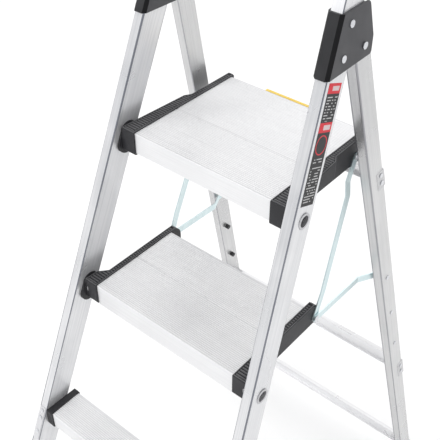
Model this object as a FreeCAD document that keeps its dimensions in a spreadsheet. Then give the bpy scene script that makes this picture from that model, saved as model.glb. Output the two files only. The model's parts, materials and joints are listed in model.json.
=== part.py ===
import FreeCAD
import Part
import Sketcher
import math
import os
from FreeCAD import Placement, Rotation, Vector

# Folding platform stepladder: two wide hinged treads, two narrow fixed treads, a front frame of
# splayed rectangular rails and a rear frame of splayed legs that folds up behind it.
# Frame of the part: X across (+X on the right seen from the front), +Y to the back, +Z up,
# origin on the floor in the middle of the footprint. Millimetres and degrees.

SIZES = (
    ("riser", 275.0, "height from one tread to the next"),
    ("riser_count", 4, "treads, the platform being the last"),
    ("front_lean", 21.2, "front rails, from upright"),
    ("rear_lean", 15.05, "rear legs, from upright"),
    ("front_splay", 3.58, "front rails, outwards to the floor"),
    ("rear_splay", 4.17, "rear legs, outwards to the floor"),
    ("front_half_width", 188.5, "outside of a front rail at platform level"),
    ("rail_thick", 18.6, "front rail across its front face"),
    ("rail_depth", 49.8, "front rail front to back"),
    ("rail_wall", 1.8, "front rail wall"),
    ("rail_ahead", 12.7, "rail front face ahead of the platform's front edge"),
    ("leg_thick", 18.6, "rear leg across its front face"),
    ("leg_depth", 36.0, "rear leg front to back"),
    ("leg_wall", 1.6, "rear leg wall"),
    ("hinge_above", 200.4, "rear leg hinge above the platform"),
    ("fold_gap", 7.1, "rail to leg when folded"),
    ("hinge_pin_radius", 4.5, "rear leg hinge pin"),
    ("platform_end_width", 27.03, "platform's end bracket at the pivot, across"),
    ("platform_end_step", 15.23, "how far its side steps in behind the legs"),
    ("middle_end_width", 27.69, "middle step's end bracket at the pivot, across"),
    ("middle_end_step", 15.69, "how far its side steps in behind the rails"),
    ("middle_depth", 193.8, "aluminium of the middle step, front to back"),
    ("front_plank_depth", 101.0, "front plank of either hinged tread"),
    ("plank_skin", 2.5, "plank thickness"),
    ("platform_lip", 39.0, "front lip of the platform"),
    ("middle_lip", 45.0, "front lip of the middle step"),
    ("plank_flange", 22.0, "flanges under the planks"),
    ("platform_rear_lip", 8.0, "rear lip of the platform, short to clear the latch"),
    ("pivot_back", 11.4, "platform pivot behind the platform's front edge"),
    ("middle_pivot_back", 8.2, "middle step pivot behind its front edge"),
    ("pivot_drop", 19.1, "tread pivots below the tread"),
    ("link_reach", 199.0, "rear pins behind the tread pivots"),
    ("link_drop", 8.0, "rear pins below the tread pivots"),
    ("strut_drop", 310.0, "lower link's leg pivot below the platform"),
    ("end_height", 42.0, "end bracket of a hinged tread, below the tread"),
    ("end_rise", 1.5, "end bracket above the tread"),
    ("end_wall", 3.0, "end bracket walls"),
    ("end_front_gap", 4.9, "end bracket to rail at the pivot"),
    ("end_shelf_start", 46.0, "end bracket's full height, from the deck's front edge"),
    ("end_shelf_height", 27.0, "height of its wide part behind that"),
    ("platform_jog_start", 140.0, "front edge to the step in the end bracket's side"),
    ("platform_jog_length", 12.0, "length of that step"),
    ("middle_jog_start", 24.0, "front edge to the step in the end bracket's side"),
    ("middle_jog_length", 17.0, "length of that step"),
    ("end_front_lap", 3.0, "end bracket ahead of the deck"),
    ("end_rear_lap", 6.5, "platform end bracket behind the deck"),
    ("middle_end_boss", 13.0, "middle end bracket behind its rear pin"),
    ("pivot_tube_radius", 11.0, "tubular rivet outside"),
    ("pivot_tube_wall", 1.5, "tubular rivet wall"),
    ("pivot_flare", 2.2, "tubular rivet's rolled ring past the tube"),
    ("spacer_radius", 17.0, "pivot spacer's round ends"),
    ("spacer_half_length", 12.0, "pivot spacer's middle to either centre"),
    ("strap_width", 14.0, "link straps"),
    ("flare_start", 0.76, "lower link's bend, as a share of its length"),
    ("flare_end", 0.94, "end of that bend"),
    ("strap_thick", 2.5, "link straps"),
    ("link_pin_radius", 4.0, "rear pins"),
    ("fixed_depth", 66.9, "narrow treads front to back"),
    ("fixed_lip", 36.0, "narrow treads' lips"),
    ("fixed_back", 2.1, "narrow tread behind the rail's front face"),
    ("fixed_cap", 15.0, "narrow treads' end caps, across"),
    ("gusset_width", 14.0, "plate on the rail's front face"),
    ("gusset_height", 78.0, "plate on the rail's front face"),
    ("gusset_thick", 1.6, "plate on the rail's front face"),
    ("bracket_wall", 3.6, "hinge bracket wall"),
    ("bracket_chamfer", 5.0, "hinge bracket's front corners"),
    ("bracket_below", 19.5, "hinge bracket below the hinge"),
    ("bracket_above", 62.0, "hinge bracket above the hinge"),
    ("bracket_behind", 7.0, "hinge bracket behind the leg"),
    ("bracket_corner_depth", 10.0, "hinge bracket's cut lower corner, front to back"),
    ("bracket_corner_height", 26.0, "hinge bracket's cut lower corner, upwards"),
    ("bracket_side_gap", 1.7, "leg to hinge bracket, either side"),
    ("bracket_rivet_above", 43.3, "upper bracket rivet above the hinge"),
    ("rivet_head", 5.6, "large rivet head radius"),
    ("small_rivet_head", 4.2, "small rivet head radius"),
    ("brace_gap", 0.5, "top brace below the platform's end brackets"),
    ("brace_height", 48.0, "rear braces"),
    ("top_brace_height", 38.0, "rear brace under the platform"),
    ("brace_thick", 1.8, "rear braces"),
    ("brace_flange", 6.0, "rear brace flanges"),
    ("brace_tab", 17.0, "brace ends on the legs' outer faces"),
    ("middle_brace_drop", 611.0, "middle brace's top edge below the platform"),
    ("bottom_brace_rise", 66.0, "bottom brace's lower edge above the floor"),
    ("bumper_first_drop", 421.0, "upper bumper below the platform"),
    ("bumper_spacing", 106.5, "between the bumpers"),
    ("bumper_radius", 5.0, "bumpers"),
    ("bumper_length", 8.0, "bumpers"),
    ("foot_height", 46.0, "feet above the floor"),
    ("foot_wall", 3.5, "feet round the rails"),
    ("foot_base", 8.0, "foot under the rail"),
    ("tray_above", 576.0, "tray's rim above the platform"),
    ("tray_height", 46.0, "tray"),
    ("tray_depth", 168.0, "tray front to back"),
    ("tray_ahead", 8.0, "tray ahead of the rails"),
    ("tray_side", 6.0, "tray beside the rails"),
    ("tray_recess", 24.0, "depth of the tool well"),
    ("tray_wall", 7.0, "tray walls"),
    ("grip_width", 130.0, "hand slot across"),
    ("grip_depth", 34.0, "hand slot front to back"),
    ("grip_bar", 17.0, "bar in front of the hand slot"),
    ("latch_width", 136.0, "release lever across"),
    ("latch_ahead", 1.24, "latch pin ahead of the top brace's rear edge"),
    ("latch_grip_drop", 5.0, "lever's grip below the tread"),
    ("latch_finger", 34.0, "finger below the latch pin"),
    ("latch_back", 10.0, "latch pin ahead of the deck's rear edge"),
    ("latch_drop", 15.0, "latch pin below the tread"),
    ("latch_pin_radius", 2.0, "latch pin"),
    ("label_width", 33.5, "label across the rail"),
    ("label_length", 177.0, "label along the rail"),
    ("label_above", 5.0, "label's lower edge above the platform, along the rail"),
    ("fit_clearance", 0.06, "moving pin in its hole"),
    ("set_clearance", 0.03, "fixed pin in its hole"),
    ("rub_gap", 0.4, "faces that slide past each other"),
    ("plank_gap", 0.6, "seam between the planks of a hinged tread"),
    ("side_head_height", 1.8, "rivet heads on the sides"),
    ("pin_head_stand", 2.2, "hinge pin's end past the bracket's side"),
    ("link_pin_head", 1.0, "rear pins' heads"),
    ("clinch", 1.2, "tubular rivet's inner ring past the tube"),
    ("joggle_start", 44.0, "upper link's bend below its upper pin"),
    ("joggle_end", 66.0, "end of that bend"),
    ("stud_reach", 3.0, "lower link's stud to the leg"),
    ("spring_length", 12.0, "latch springs"),
)

doc = FreeCAD.newDocument("PlatformStepladder")
sheet = doc.addObject("Spreadsheet::Sheet", "Sizes")
for row, (alias, value, meaning) in enumerate(SIZES, 1):
    sheet.set(f"A{row}", alias)
    sheet.set(f"B{row}", str(value))
    sheet.set(f"C{row}", meaning)
    sheet.setAlias(f"B{row}", alias)
doc.recompute()


def size(alias):
    return float(sheet.get(alias))


SIDES = (("left", -1), ("right", 1))
SIDEWAYS = Rotation(Vector(1, 1, 1), 120)  # local X, Y, Z become Y, Z, X
ALONG_X = Rotation(Vector(0, 1, 0), 90)
FAR = 4000.0

platform_level = size("riser") * size("riser_count")
lean = math.radians(size("front_lean"))
rear = math.radians(size("rear_lean"))
splay = math.radians(size("front_splay"))
rear_splay = math.radians(size("rear_splay"))

nodes = []
holes = {}


# ---- small builders -------------------------------------------------------------------------

def place(x=0.0, y=0.0, z=0.0, rotation=None):
    return Placement(Vector(x, y, z), rotation or Rotation())


def text(value):
    return value if isinstance(value, str) else repr(float(value))


def box(name, length, width, height, placement):
    made = doc.addObject("Part::Box", name)
    for prop, value in (("Length", length), ("Width", width), ("Height", height)):
        made.setExpression(prop, text(value))
    made.Placement = placement
    return made


def cylinder(name, radius, height, placement):
    made = doc.addObject("Part::Cylinder", name)
    made.setExpression("Radius", text(radius))
    made.setExpression("Height", text(height))
    made.Placement = placement
    return made


def fuse(name, parts):
    made = doc.addObject("Part::MultiFuse", name)
    made.Shapes = parts
    made.Refine = True
    return made


def common(name, parts):
    made = doc.addObject("Part::MultiCommon", name)
    made.Shapes = parts
    return made


def cut(name, base, tools):
    made = doc.addObject("Part::Cut", name)
    made.Base = base
    made.Tool = tools[0] if len(tools) == 1 else fuse(name + "_tools", tools)
    return made


def group(name, parts):
    made = doc.addObject("Part::Compound", name)
    made.Links = parts
    return made


def outline(points, radii=None):
    """Closed run of lines through points, with arcs of the given radii at the corners."""
    radii = radii or {}
    count = len(points)
    corners = []
    for i, point in enumerate(points):
        before = points[i - 1] - point
        after = points[(i + 1) % count] - point
        radius = radii.get(i, 0.0)
        if radius == 0.0:
            corners.append((point, None, point))
            continue
        half = before.getAngle(after) / 2
        back = radius / math.tan(half)
        start = point + before.normalize() * back
        end = point + after.normalize() * back
        middle = point + (before + after).normalize() * (radius / math.sin(half) - radius)
        corners.append((start, middle, end))
    edges = []
    for i, (start, middle, end) in enumerate(corners):
        if middle is not None:
            edges.append(Part.Arc(start, middle, end))
        following = corners[(i + 1) % count][0]
        if (following - end).Length > 1e-6:
            edges.append(Part.LineSegment(end, following))
    return edges


def sketch_on_base(body, name):
    sketch = body.newObject("Sketcher::SketchObject", name)
    base = [f for f in body.Origin.OriginFeatures if f.Role == "XY_Plane"][0]
    sketch.AttachmentSupport = (base, [""])
    sketch.MapMode = "FlatFace"
    return sketch


def prism(name, points, length, placement, radii=None):
    """Body padded along its own Z from an outline on its XY plane."""
    body = doc.addObject("PartDesign::Body", name)
    sketch = sketch_on_base(body, name + "_outline")
    for edge in outline([Vector(a, b, 0) for a, b in points], radii):
        sketch.addGeometry(edge, False)
    pad = body.newObject("PartDesign::Pad", name + "_pad")
    pad.Profile = sketch
    pad.setExpression("Length", text(length))
    body.Tip = pad
    body.Placement = placement
    return body


def rectangle(sketch, corner, width, depth, names):
    """Adds a sized rectangle: corner is (x, y), width and depth are expressions."""
    x, y = corner
    first = sketch.GeometryCount
    ends = [(x, y), (x + 10, y), (x + 10, y + 10), (x, y + 10)]
    for i in range(4):
        a = Vector(*ends[i], 0)
        b = Vector(*ends[(i + 1) % 4], 0)
        sketch.addGeometry(Part.LineSegment(a, b), False)
    for i in range(4):
        following = first + (i + 1) % 4
        sketch.addConstraint(Sketcher.Constraint("Coincident", first + i, 2, following, 1))
        kind = "Vertical" if i % 2 else "Horizontal"
        sketch.addConstraint(Sketcher.Constraint(kind, first + i))
    wanted = (
        ("DistanceX", (first, 1, first, 2), width),
        ("DistanceY", (first + 1, 1, first + 1, 2), depth),
    )
    for (kind, ends, value), label in zip(wanted, names):
        index = sketch.addConstraint(Sketcher.Constraint(kind, *ends, 10.0))
        sketch.renameConstraint(index, label)
        sketch.setExpression("Constraints." + label, value)
    return first


def tube(name, thick, depth, wall, length, placement):
    """Rectangular tube along its own Z, one corner of its section on the origin."""
    body = doc.addObject("PartDesign::Body", name)
    sketch = sketch_on_base(body, name + "_section")
    outer = rectangle(sketch, (0, 0), f"Sizes.{thick}", f"Sizes.{depth}", ("outer_x", "outer_y"))
    sketch.addConstraint(Sketcher.Constraint("Coincident", outer, 1, -1, 1))
    inner = rectangle(
        sketch,
        (size(wall), size(wall)),
        f"Sizes.{thick} - 2 * Sizes.{wall}",
        f"Sizes.{depth} - 2 * Sizes.{wall}",
        ("inner_x", "inner_y"),
    )
    for kind, label in (("DistanceX", "wall_x"), ("DistanceY", "wall_y")):
        index = sketch.addConstraint(Sketcher.Constraint(kind, -1, 1, inner, 1, size(wall)))
        sketch.renameConstraint(index, label)
        sketch.setExpression("Constraints." + label, f"Sizes.{wall}")
    pad = body.newObject("PartDesign::Pad", name + "_pad")
    pad.Profile = sketch
    pad.setExpression("Length", text(length))
    body.Tip = pad
    body.Placement = placement
    return body


def x_pin(name, radius, start, end, y, z):
    """Cylinder along X from start to end."""
    return cylinder(name, radius, end - start, place(start, y, z, ALONG_X))


def across(side, near, far):
    """Start and length along X of a span from near to far on one side."""
    return (near if side > 0 else -far, far - near)


def drill(node, tool):
    holes.setdefault(node, []).append(tool)


def node(name, made):
    """Registers a finished piece after its holes are cut."""
    if name in holes:
        made = cut(name + "_drilled", made, holes[name])
    made.Label = name
    nodes.append(made)
    return made


# ---- lines that everything is placed on -----------------------------------------------------

def rail_front(z):
    """Y of the rails' front face, from the platform's front edge."""
    return (z - platform_level) * math.tan(lean) - size("rail_ahead")


class Member:
    """A splayed, leaning bar: its own X goes across, Y to the back and Z up its length."""

    def __init__(self, side, origin, tilt, spread, thick):
        self.side = side
        self.origin = origin
        turn = Rotation(Vector(1, 0, 0), math.degrees(-tilt))
        self.rotation = turn.multiply(Rotation(Vector(0, 1, 0), math.degrees(-side * spread)))
        self.thick = thick
        self.tilt = tilt
        self.spread = spread

    def point(self, inward, back, up):
        return self.origin + self.rotation.multVec(Vector(-self.side * inward, back, up))

    def at(self, inward, back, up, extra=None):
        rotation = self.rotation if extra is None else self.rotation.multiply(extra)
        return Placement(self.point(inward, back, up), rotation)

    def corner(self, near, far, back, up):
        """Placement whose own X runs across the bar from one offset to the other."""
        return self.at(far if self.side > 0 else near, back, up)

    def up_at(self, z, back=0.0):
        """Length along the bar to the height z at a depth from its front face."""
        rise = self.rotation.multVec(Vector(0, 0, 1)).z
        drop = self.rotation.multVec(Vector(0, back, 0)).z
        return (z - self.origin.z - drop) / rise

    def x_at(self, inward, y, z):
        """X of the face at an offset inward from the outer face, over a point (y, z)."""
        normal = self.rotation.multVec(Vector(self.side, 0, 0))
        offset = -inward - normal.y * (y - self.origin.y) - normal.z * (z - self.origin.z)
        return self.origin.x + offset / normal.x

    def bolt(self, name, radius, inward_from, inward_to, back, up):
        """Cylinder across the bar, square to its side faces."""
        spin = Rotation(Vector(0, 1, 0), -90 * self.side)
        place_at = self.at(inward_from, back, up, spin)
        return cylinder(name, radius, inward_to - inward_from, place_at)

    def stud(self, name, radius, back_from, back_to, inward, up):
        """Cylinder from front to back of the bar."""
        spin = Rotation(Vector(1, 0, 0), -90)
        place_at = self.at(inward, back_from, up, spin)
        return cylinder(name, radius, back_to - back_from, place_at)


rail_x_slope = math.tan(splay) / math.cos(lean)
floor_half = size("front_half_width") + platform_level * rail_x_slope
rails = {}
for word, side in SIDES:
    corner = Vector(side * floor_half, rail_front(0.0), 0)
    rails[word] = Member(side, corner, lean, splay, "Sizes.rail_thick")

hinge_z = platform_level + size("hinge_above")
hinge_behind = size("rail_depth") + size("fold_gap") + size("leg_depth") / 2
hinge_y = rail_front(hinge_z) + hinge_behind / math.cos(lean)
leg_up = (hinge_z - size("leg_depth") / 2 * math.sin(rear)) / (math.cos(rear) * math.cos(rear_splay))
leg_run = leg_up * math.cos(rear_splay) * math.sin(rear)
leg_floor_y = hinge_y - size("leg_depth") / 2 * math.cos(rear) + leg_run
legs = {}
for word, side in SIDES:
    rail = rails[word]
    middle_x = rail.x_at(size("rail_thick") / 2, hinge_y, hinge_z)
    outer_x = middle_x + side * (size("leg_thick") / 2 + leg_up * math.sin(rear_splay))
    legs[word] = Member(side, Vector(outer_x, leg_floor_y, 0), -rear, rear_splay, "Sizes.leg_thick")

# The footprint's middle becomes Y = 0.
front_reach = rail_front(0.0) - size("foot_wall") / math.cos(lean)
rear_reach = leg_floor_y + (size("leg_depth") + size("foot_wall")) / math.cos(rear)
shift = -(front_reach + rear_reach) / 2
for member in list(rails.values()) + list(legs.values()):
    member.origin = member.origin + Vector(0, shift, 0)
hinge_y += shift
deck_front = shift

pivot_y = deck_front + size("pivot_back")
pivot_z = platform_level - size("pivot_drop")
middle_level = platform_level - size("riser")
middle_pivot_y = pivot_y - size("riser") * math.tan(lean)
middle_pivot_z = pivot_z - size("riser")
middle_front = middle_pivot_y - size("middle_pivot_back")
ends_inside = {
    "platform": rails["right"].x_at(size("rail_thick"), pivot_y, pivot_z) - size("end_front_gap"),
    "middle": rails["right"].x_at(size("rail_thick"), middle_pivot_y, middle_pivot_z) - size("end_front_gap"),
}
deck_half = {tread: wide - size(f"{tread}_end_width") for tread, wide in ends_inside.items()}
end_rear_half = {tread: wide - size(f"{tread}_end_step") for tread, wide in ends_inside.items()}
top_brace_base = platform_level - size("end_height") - size("brace_gap") - size("top_brace_height")
brace_up = legs["right"].up_at(top_brace_base, size("leg_depth"))
brace_back = legs["right"].point(0.0, size("leg_depth"), brace_up).y
latch_y = brace_back - size("latch_ahead")
latch_z = platform_level - size("latch_drop")
deck_depth = {"platform": latch_y + size("latch_back") - deck_front, "middle": size("middle_depth")}
upper_pin = Vector(0, pivot_y + size("link_reach"), pivot_z - size("link_drop"))
lower_pin = Vector(0, middle_pivot_y + size("link_reach"), middle_pivot_z - size("link_drop"))


# ---- front rails: closed rectangular aluminium tubes ----------------------------------------

tray_top = platform_level + size("tray_above")
tray_base = tray_top - size("tray_height")
rail_start = rails["right"].up_at(size("foot_base"), size("rail_depth"))
rail_end = rails["right"].up_at(tray_base + size("tray_height") - size("tray_recess") - 6.0)
rail_tubes = {}
for word, side in SIDES:
    rail = rails[word]
    corner = rail.corner(0.0, size("rail_thick"), 0.0, rail_start)
    name = f"front_rail_{word}"
    rail_tubes[name] = tube(
        name + "_tube", "rail_thick", "rail_depth", "rail_wall", rail_end - rail_start, corner
    )


def envelope(name, member, thick, depth, gap, start, length):
    """Solid bar the size of a rail or leg plus a gap all round."""
    corner = member.corner(-gap, size(thick) + gap, -gap, start)
    return box(
        name,
        f"Sizes.{thick} + {2 * gap}",
        f"Sizes.{depth} + {2 * gap}",
        length,
        corner,
    )


# ---- rear legs: lighter rectangular tubes with a round top at the hinge ----------------------

leg_start = legs["right"].up_at(size("foot_base"), 0.0)
leg_tubes = {}
for word, side in SIDES:
    leg = legs[word]
    name = f"rear_leg_{word}"
    half = size("leg_depth") / 2
    corner = leg.corner(0.0, size("leg_thick"), 0.0, leg_start)
    bar = tube(name + "_tube", "leg_thick", "leg_depth", "leg_wall", leg_up + half - leg_start, corner)
    top = leg.corner(-2.0, size("leg_thick") + 2.0, -2.0, leg_up)
    block = box(name + "_top", "Sizes.leg_thick + 4", "Sizes.leg_depth + 4", "Sizes.leg_depth", top)
    round_top = leg.bolt(name + "_round", "Sizes.leg_depth / 2", -4.0, size("leg_thick") + 4.0, half, leg_up)
    leg_tubes[name] = cut(name + "_rounded", bar, [cut(name + "_waste", block, [round_top])])


# ---- feet: rubber boots, cut level with the floor --------------------------------------------

def foot(name, member, thick, depth, start):
    wall = size("foot_wall")
    corner = member.corner(-wall, size(thick) + wall, -wall, -60.0)
    boot = box(
        name + "_boot",
        f"Sizes.{thick} + 2 * Sizes.foot_wall",
        f"Sizes.{depth} + 2 * Sizes.foot_wall",
        "Sizes.foot_height + 60",
        corner,
    )
    above = box(name + "_above", FAR, FAR, FAR, place(-FAR / 2, -FAR / 2, 0))
    pocket = envelope(name + "_pocket", member, thick, depth, 0.0, start, FAR)
    return cut(name + "_cut", common(name + "_level", [boot, above]), [pocket])


for word, side in SIDES:
    front = f"front_foot_{word}"
    node(front, foot(front, rails[word], "rail_thick", "rail_depth", rail_start))
    back = f"rear_foot_{word}"
    node(back, foot(back, legs[word], "leg_thick", "leg_depth", leg_start))


# ---- rivets across a rail or leg -------------------------------------------------------------

def side_rivet(name, member, back, up, lift, grip, head, targets):
    """Round-headed rivet from the outer side: head on a face at lift, shank grip long."""
    radius = size(head)
    cap = member.bolt(name + "_head", f"Sizes.{head}", -lift - size("side_head_height"), -lift, back, up)
    buried = -lift - size("side_head_height") / 2
    shank = member.bolt(name + "_shank", f"Sizes.{head} * 0.45", buried, grip - lift, back, up)
    for target in targets:
        tight = radius * 0.45 + size("set_clearance")
        hole = member.bolt(f"{name}_{target}_hole", tight, -lift - 1.0, grip - lift + 1.0, back, up)
        drill(target, hole)
    return fuse(name, [cap, shank])


# ---- hinge brackets: moulded saddles over the rails with ears round the leg tops --------------

bracket_base = hinge_z - size("bracket_below")
bracket_top = hinge_z + size("bracket_above")
bracket_rivets = []
hinge_pins = []
brackets = {}
for word, side in SIDES:
    rail = rails[word]
    leg = legs[word]
    wall = size("bracket_wall")
    name = f"hinge_bracket_{word}"
    ahead = wall / math.cos(lean)

    def front_y(z):
        return rail_front(z) + shift - ahead

    def back_y(z):
        edge = (size("leg_depth") / 2 + size("bracket_behind")) / math.cos(rear)
        return hinge_y - (z - hinge_z) * math.tan(rear) + edge

    corner_z = bracket_base + size("bracket_corner_height")
    shape = [
        (front_y(bracket_base), bracket_base),
        (back_y(bracket_base) - size("bracket_corner_depth"), bracket_base),
        (back_y(corner_z), corner_z),
        (back_y(bracket_top), bracket_top),
        (front_y(bracket_top), bracket_top),
    ]
    start, length = across(side, 60.0, 260.0)
    plate = prism(name + "_side", shape, length, place(start, 0, 0, SIDEWAYS), {1: 5.0, 2: 5.0, 3: 10.0})
    low = rail.up_at(bracket_base) - 60.0
    broad = size("rail_thick") + 2 * wall
    chamfer = size("bracket_chamfer")
    plan_view = [
        (0, chamfer),
        (chamfer, 0),
        (broad - chamfer, 0),
        (broad, chamfer),
        (broad, 400.0),
        (0, 400.0),
    ]
    slab = prism(name + "_slab", plan_view, 400.0, rail.corner(-wall, size("rail_thick") + wall, -wall, low))
    solid = common(name + "_solid", [plate, slab])
    rail_room = box(
        name + "_rail_room",
        "Sizes.rail_thick",
        "Sizes.rail_depth + Sizes.fold_gap / 2",
        400.0,
        rail.corner(0.0, size("rail_thick"), 0.0, low),
    )
    room = (size("leg_thick") - size("rail_thick")) / 2 + size("bracket_side_gap")
    leg_room = box(
        name + "_leg_room",
        "Sizes.leg_thick + 2 * Sizes.bracket_side_gap",
        400.0,
        400.0,
        rail.corner(-room, size("rail_thick") + room, size("rail_depth") + 1.0, low),
    )
    brackets[name] = cut(name + "_saddle", solid, [rail_room, leg_room])
    rivet_up = rail.up_at(hinge_z + size("bracket_rivet_above"), size("rail_depth") / 2)
    lower_up = rail.up_at(hinge_z, size("rail_depth") / 2)
    for spot, up in (("upper", rivet_up), ("lower", lower_up)):
        rivet = side_rivet(
            f"bracket_rivet_{word}_{spot}", rail, size("rail_depth") / 2, up, wall, wall + 6.0,
            "rivet_head", [name, f"front_rail_{word}"],
        )
        bracket_rivets.append(rivet)
    middle = rail.x_at(size("rail_thick") / 2, hinge_y, hinge_z)
    reach = size("rail_thick") / 2 + wall + size("pin_head_stand")
    pin_ends = (middle - reach + 1.0, middle + reach - 1.0)
    pin = x_pin(f"hinge_pin_{word}", "Sizes.hinge_pin_radius", *pin_ends, hinge_y, hinge_z)
    caps = []
    for end, low_x in (("a", middle - reach - 0.6), ("b", middle + reach - 1.8)):
        cap_name = f"hinge_pin_{word}_{end}"
        caps.append(x_pin(cap_name, "Sizes.rivet_head", low_x, low_x + 2.4, hinge_y, hinge_z))
    hinge_pins.append(fuse(f"hinge_pin_{word}_headed", [pin] + caps))
    fixed = size("hinge_pin_radius") + size("set_clearance")
    free = size("hinge_pin_radius") + size("fit_clearance")
    drill(name, x_pin(name + "_hole", fixed, middle - 60, middle + 60, hinge_y, hinge_z))
    drill(f"rear_leg_{word}", x_pin(name + "_bore", free, middle - 60, middle + 60, hinge_y, hinge_z))
for name, saddle in brackets.items():
    node(name, saddle)
node("hinge_bracket_rivets", group("hinge_bracket_rivets", bracket_rivets))
node("hinge_pins", group("hinge_pins", hinge_pins))


# ---- hinged treads ---------------------------------------------------------------------------

def plank(name, half, front, depth, level, front_lip, rear_lip):
    """Channel section across the tread: a skin with a lip along each long edge."""
    skin = size("plank_skin")
    hook = 3 * skin
    section = [
        (front, level),
        (front + depth, level),
        (front + depth, level - rear_lip),
        (front + depth - skin, level - rear_lip),
        (front + depth - skin, level - skin),
        (front + skin, level - skin),
        (front + skin, level - front_lip + skin),
        (front + hook, level - front_lip + skin),
        (front + hook, level - front_lip),
        (front, level - front_lip),
    ]
    start = place(-half, 0, 0, SIDEWAYS)
    return prism(name, section, 2 * half, start, {0: 1.2, 9: 1.2})


for tread, level, front in (("platform", platform_level, deck_front), ("middle", middle_level, middle_front)):
    ahead = size("front_plank_depth")
    half = deck_half[tread]
    seam = size("plank_gap")
    rest = deck_depth[tread] - ahead - seam
    rear_lip = size("platform_rear_lip") if tread == "platform" else size("plank_flange")
    name = f"{tread}_front_plank"
    lip = size(f"{tread}_lip")
    node(name, plank(name + "_channel", half, front, ahead, level, lip, size("plank_flange")))
    name = f"{tread}_rear_plank"
    behind = front + ahead + seam
    node(name, plank(name + "_channel", half, behind, rest, level, size("plank_flange"), rear_lip))


def tread_end(name, side, tread, level, front, pivot, end, rear_half, rear_radii):
    """Moulded end bracket: wide beside the pivot, stepped in to pass the rails when folded."""
    wall = size("end_wall")
    inner = deck_half[tread]
    taper = math.tan(splay)
    wide = ends_inside[tread]
    start = front - size("end_front_lap")
    jog = front + size(f"{tread}_jog_start")
    jog_end = jog + size(f"{tread}_jog_length")

    def outer(y):
        return wide - (y - pivot[0]) * taper

    def plan(offset, near, far, low):
        corners = [
            (near, start + low),
            (outer(start) - offset, start + low),
            (outer(jog) - offset, jog),
            (rear_half - offset, jog_end),
            (rear_half - offset, far),
            (near, far),
        ]
        return [(side * x, y) for x, y in corners]

    top = level + size("end_rise")
    base = level - size("end_height")
    profile = [(start, base), (end, base), (end, top), (start, top)]
    radii = {0: 4.0, 1: rear_radii[0], 2: rear_radii[1], 3: 2.0}
    spread, length = across(side, inner - 40.0, inner + 80.0)
    view = prism(name + "_side", profile, length, place(spread, 0, 0, SIDEWAYS), radii)
    footprint = prism(
        name + "_plan", plan(0.0, inner, end, 0.0), size("end_height") + 40.0,
        place(0, 0, base - 20.0), {2: 5.0, 3: 5.0},
    )
    solid = common(name + "_block", [view, footprint])
    # Behind the pivot the wide part is a shallow shelf over a narrower wall.
    shelf_from = front + size("end_shelf_start")
    room = jog_end - shelf_from + wall
    if room > 2 * wall:
        undercuts = []
        for part, grow in (("outside", 0.0), ("inside", wall)):
            low_x, span = across(side, rear_half - grow, rear_half + 80.0)
            bottom = base - 40.0
            tall = level - size("end_shelf_height") + grow - bottom
            undercuts.append(
                box(f"{name}_undercut_{part}", span, room, tall, place(low_x, shelf_from - grow, bottom))
            )
        solid = cut(name + "_shelved", solid, [undercuts[0]])
    hollow = prism(
        name + "_hollow", plan(wall, inner + wall, end - 2 * wall, wall), size("end_height") + 20.0,
        place(0, 0, base - 20.0 - wall), {},
    )
    if room > 2 * wall:
        hollow = cut(name + "_hollow_shelved", hollow, [undercuts[1]])
    shell = cut(name + "_shell", solid, [hollow])
    ledges = []
    spans = (
        (front + 12.0, front + size("front_plank_depth") - 10.0),
        (front + size("front_plank_depth") + 12.0, front + deck_depth[tread] - 14.0),
    )
    for i, (low, high) in enumerate(spans):
        near, length = across(side, inner - 12.0, inner + wall)
        shelf = level - size("plank_skin") - size("end_wall")
        ledge = box(f"{name}_ledge{i}", length, high - low, "Sizes.end_wall", place(near, low, shelf))
        ledges.append(ledge)
    made = fuse(name + "_body", [shell] + ledges)
    return made, outer(pivot[0])


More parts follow.
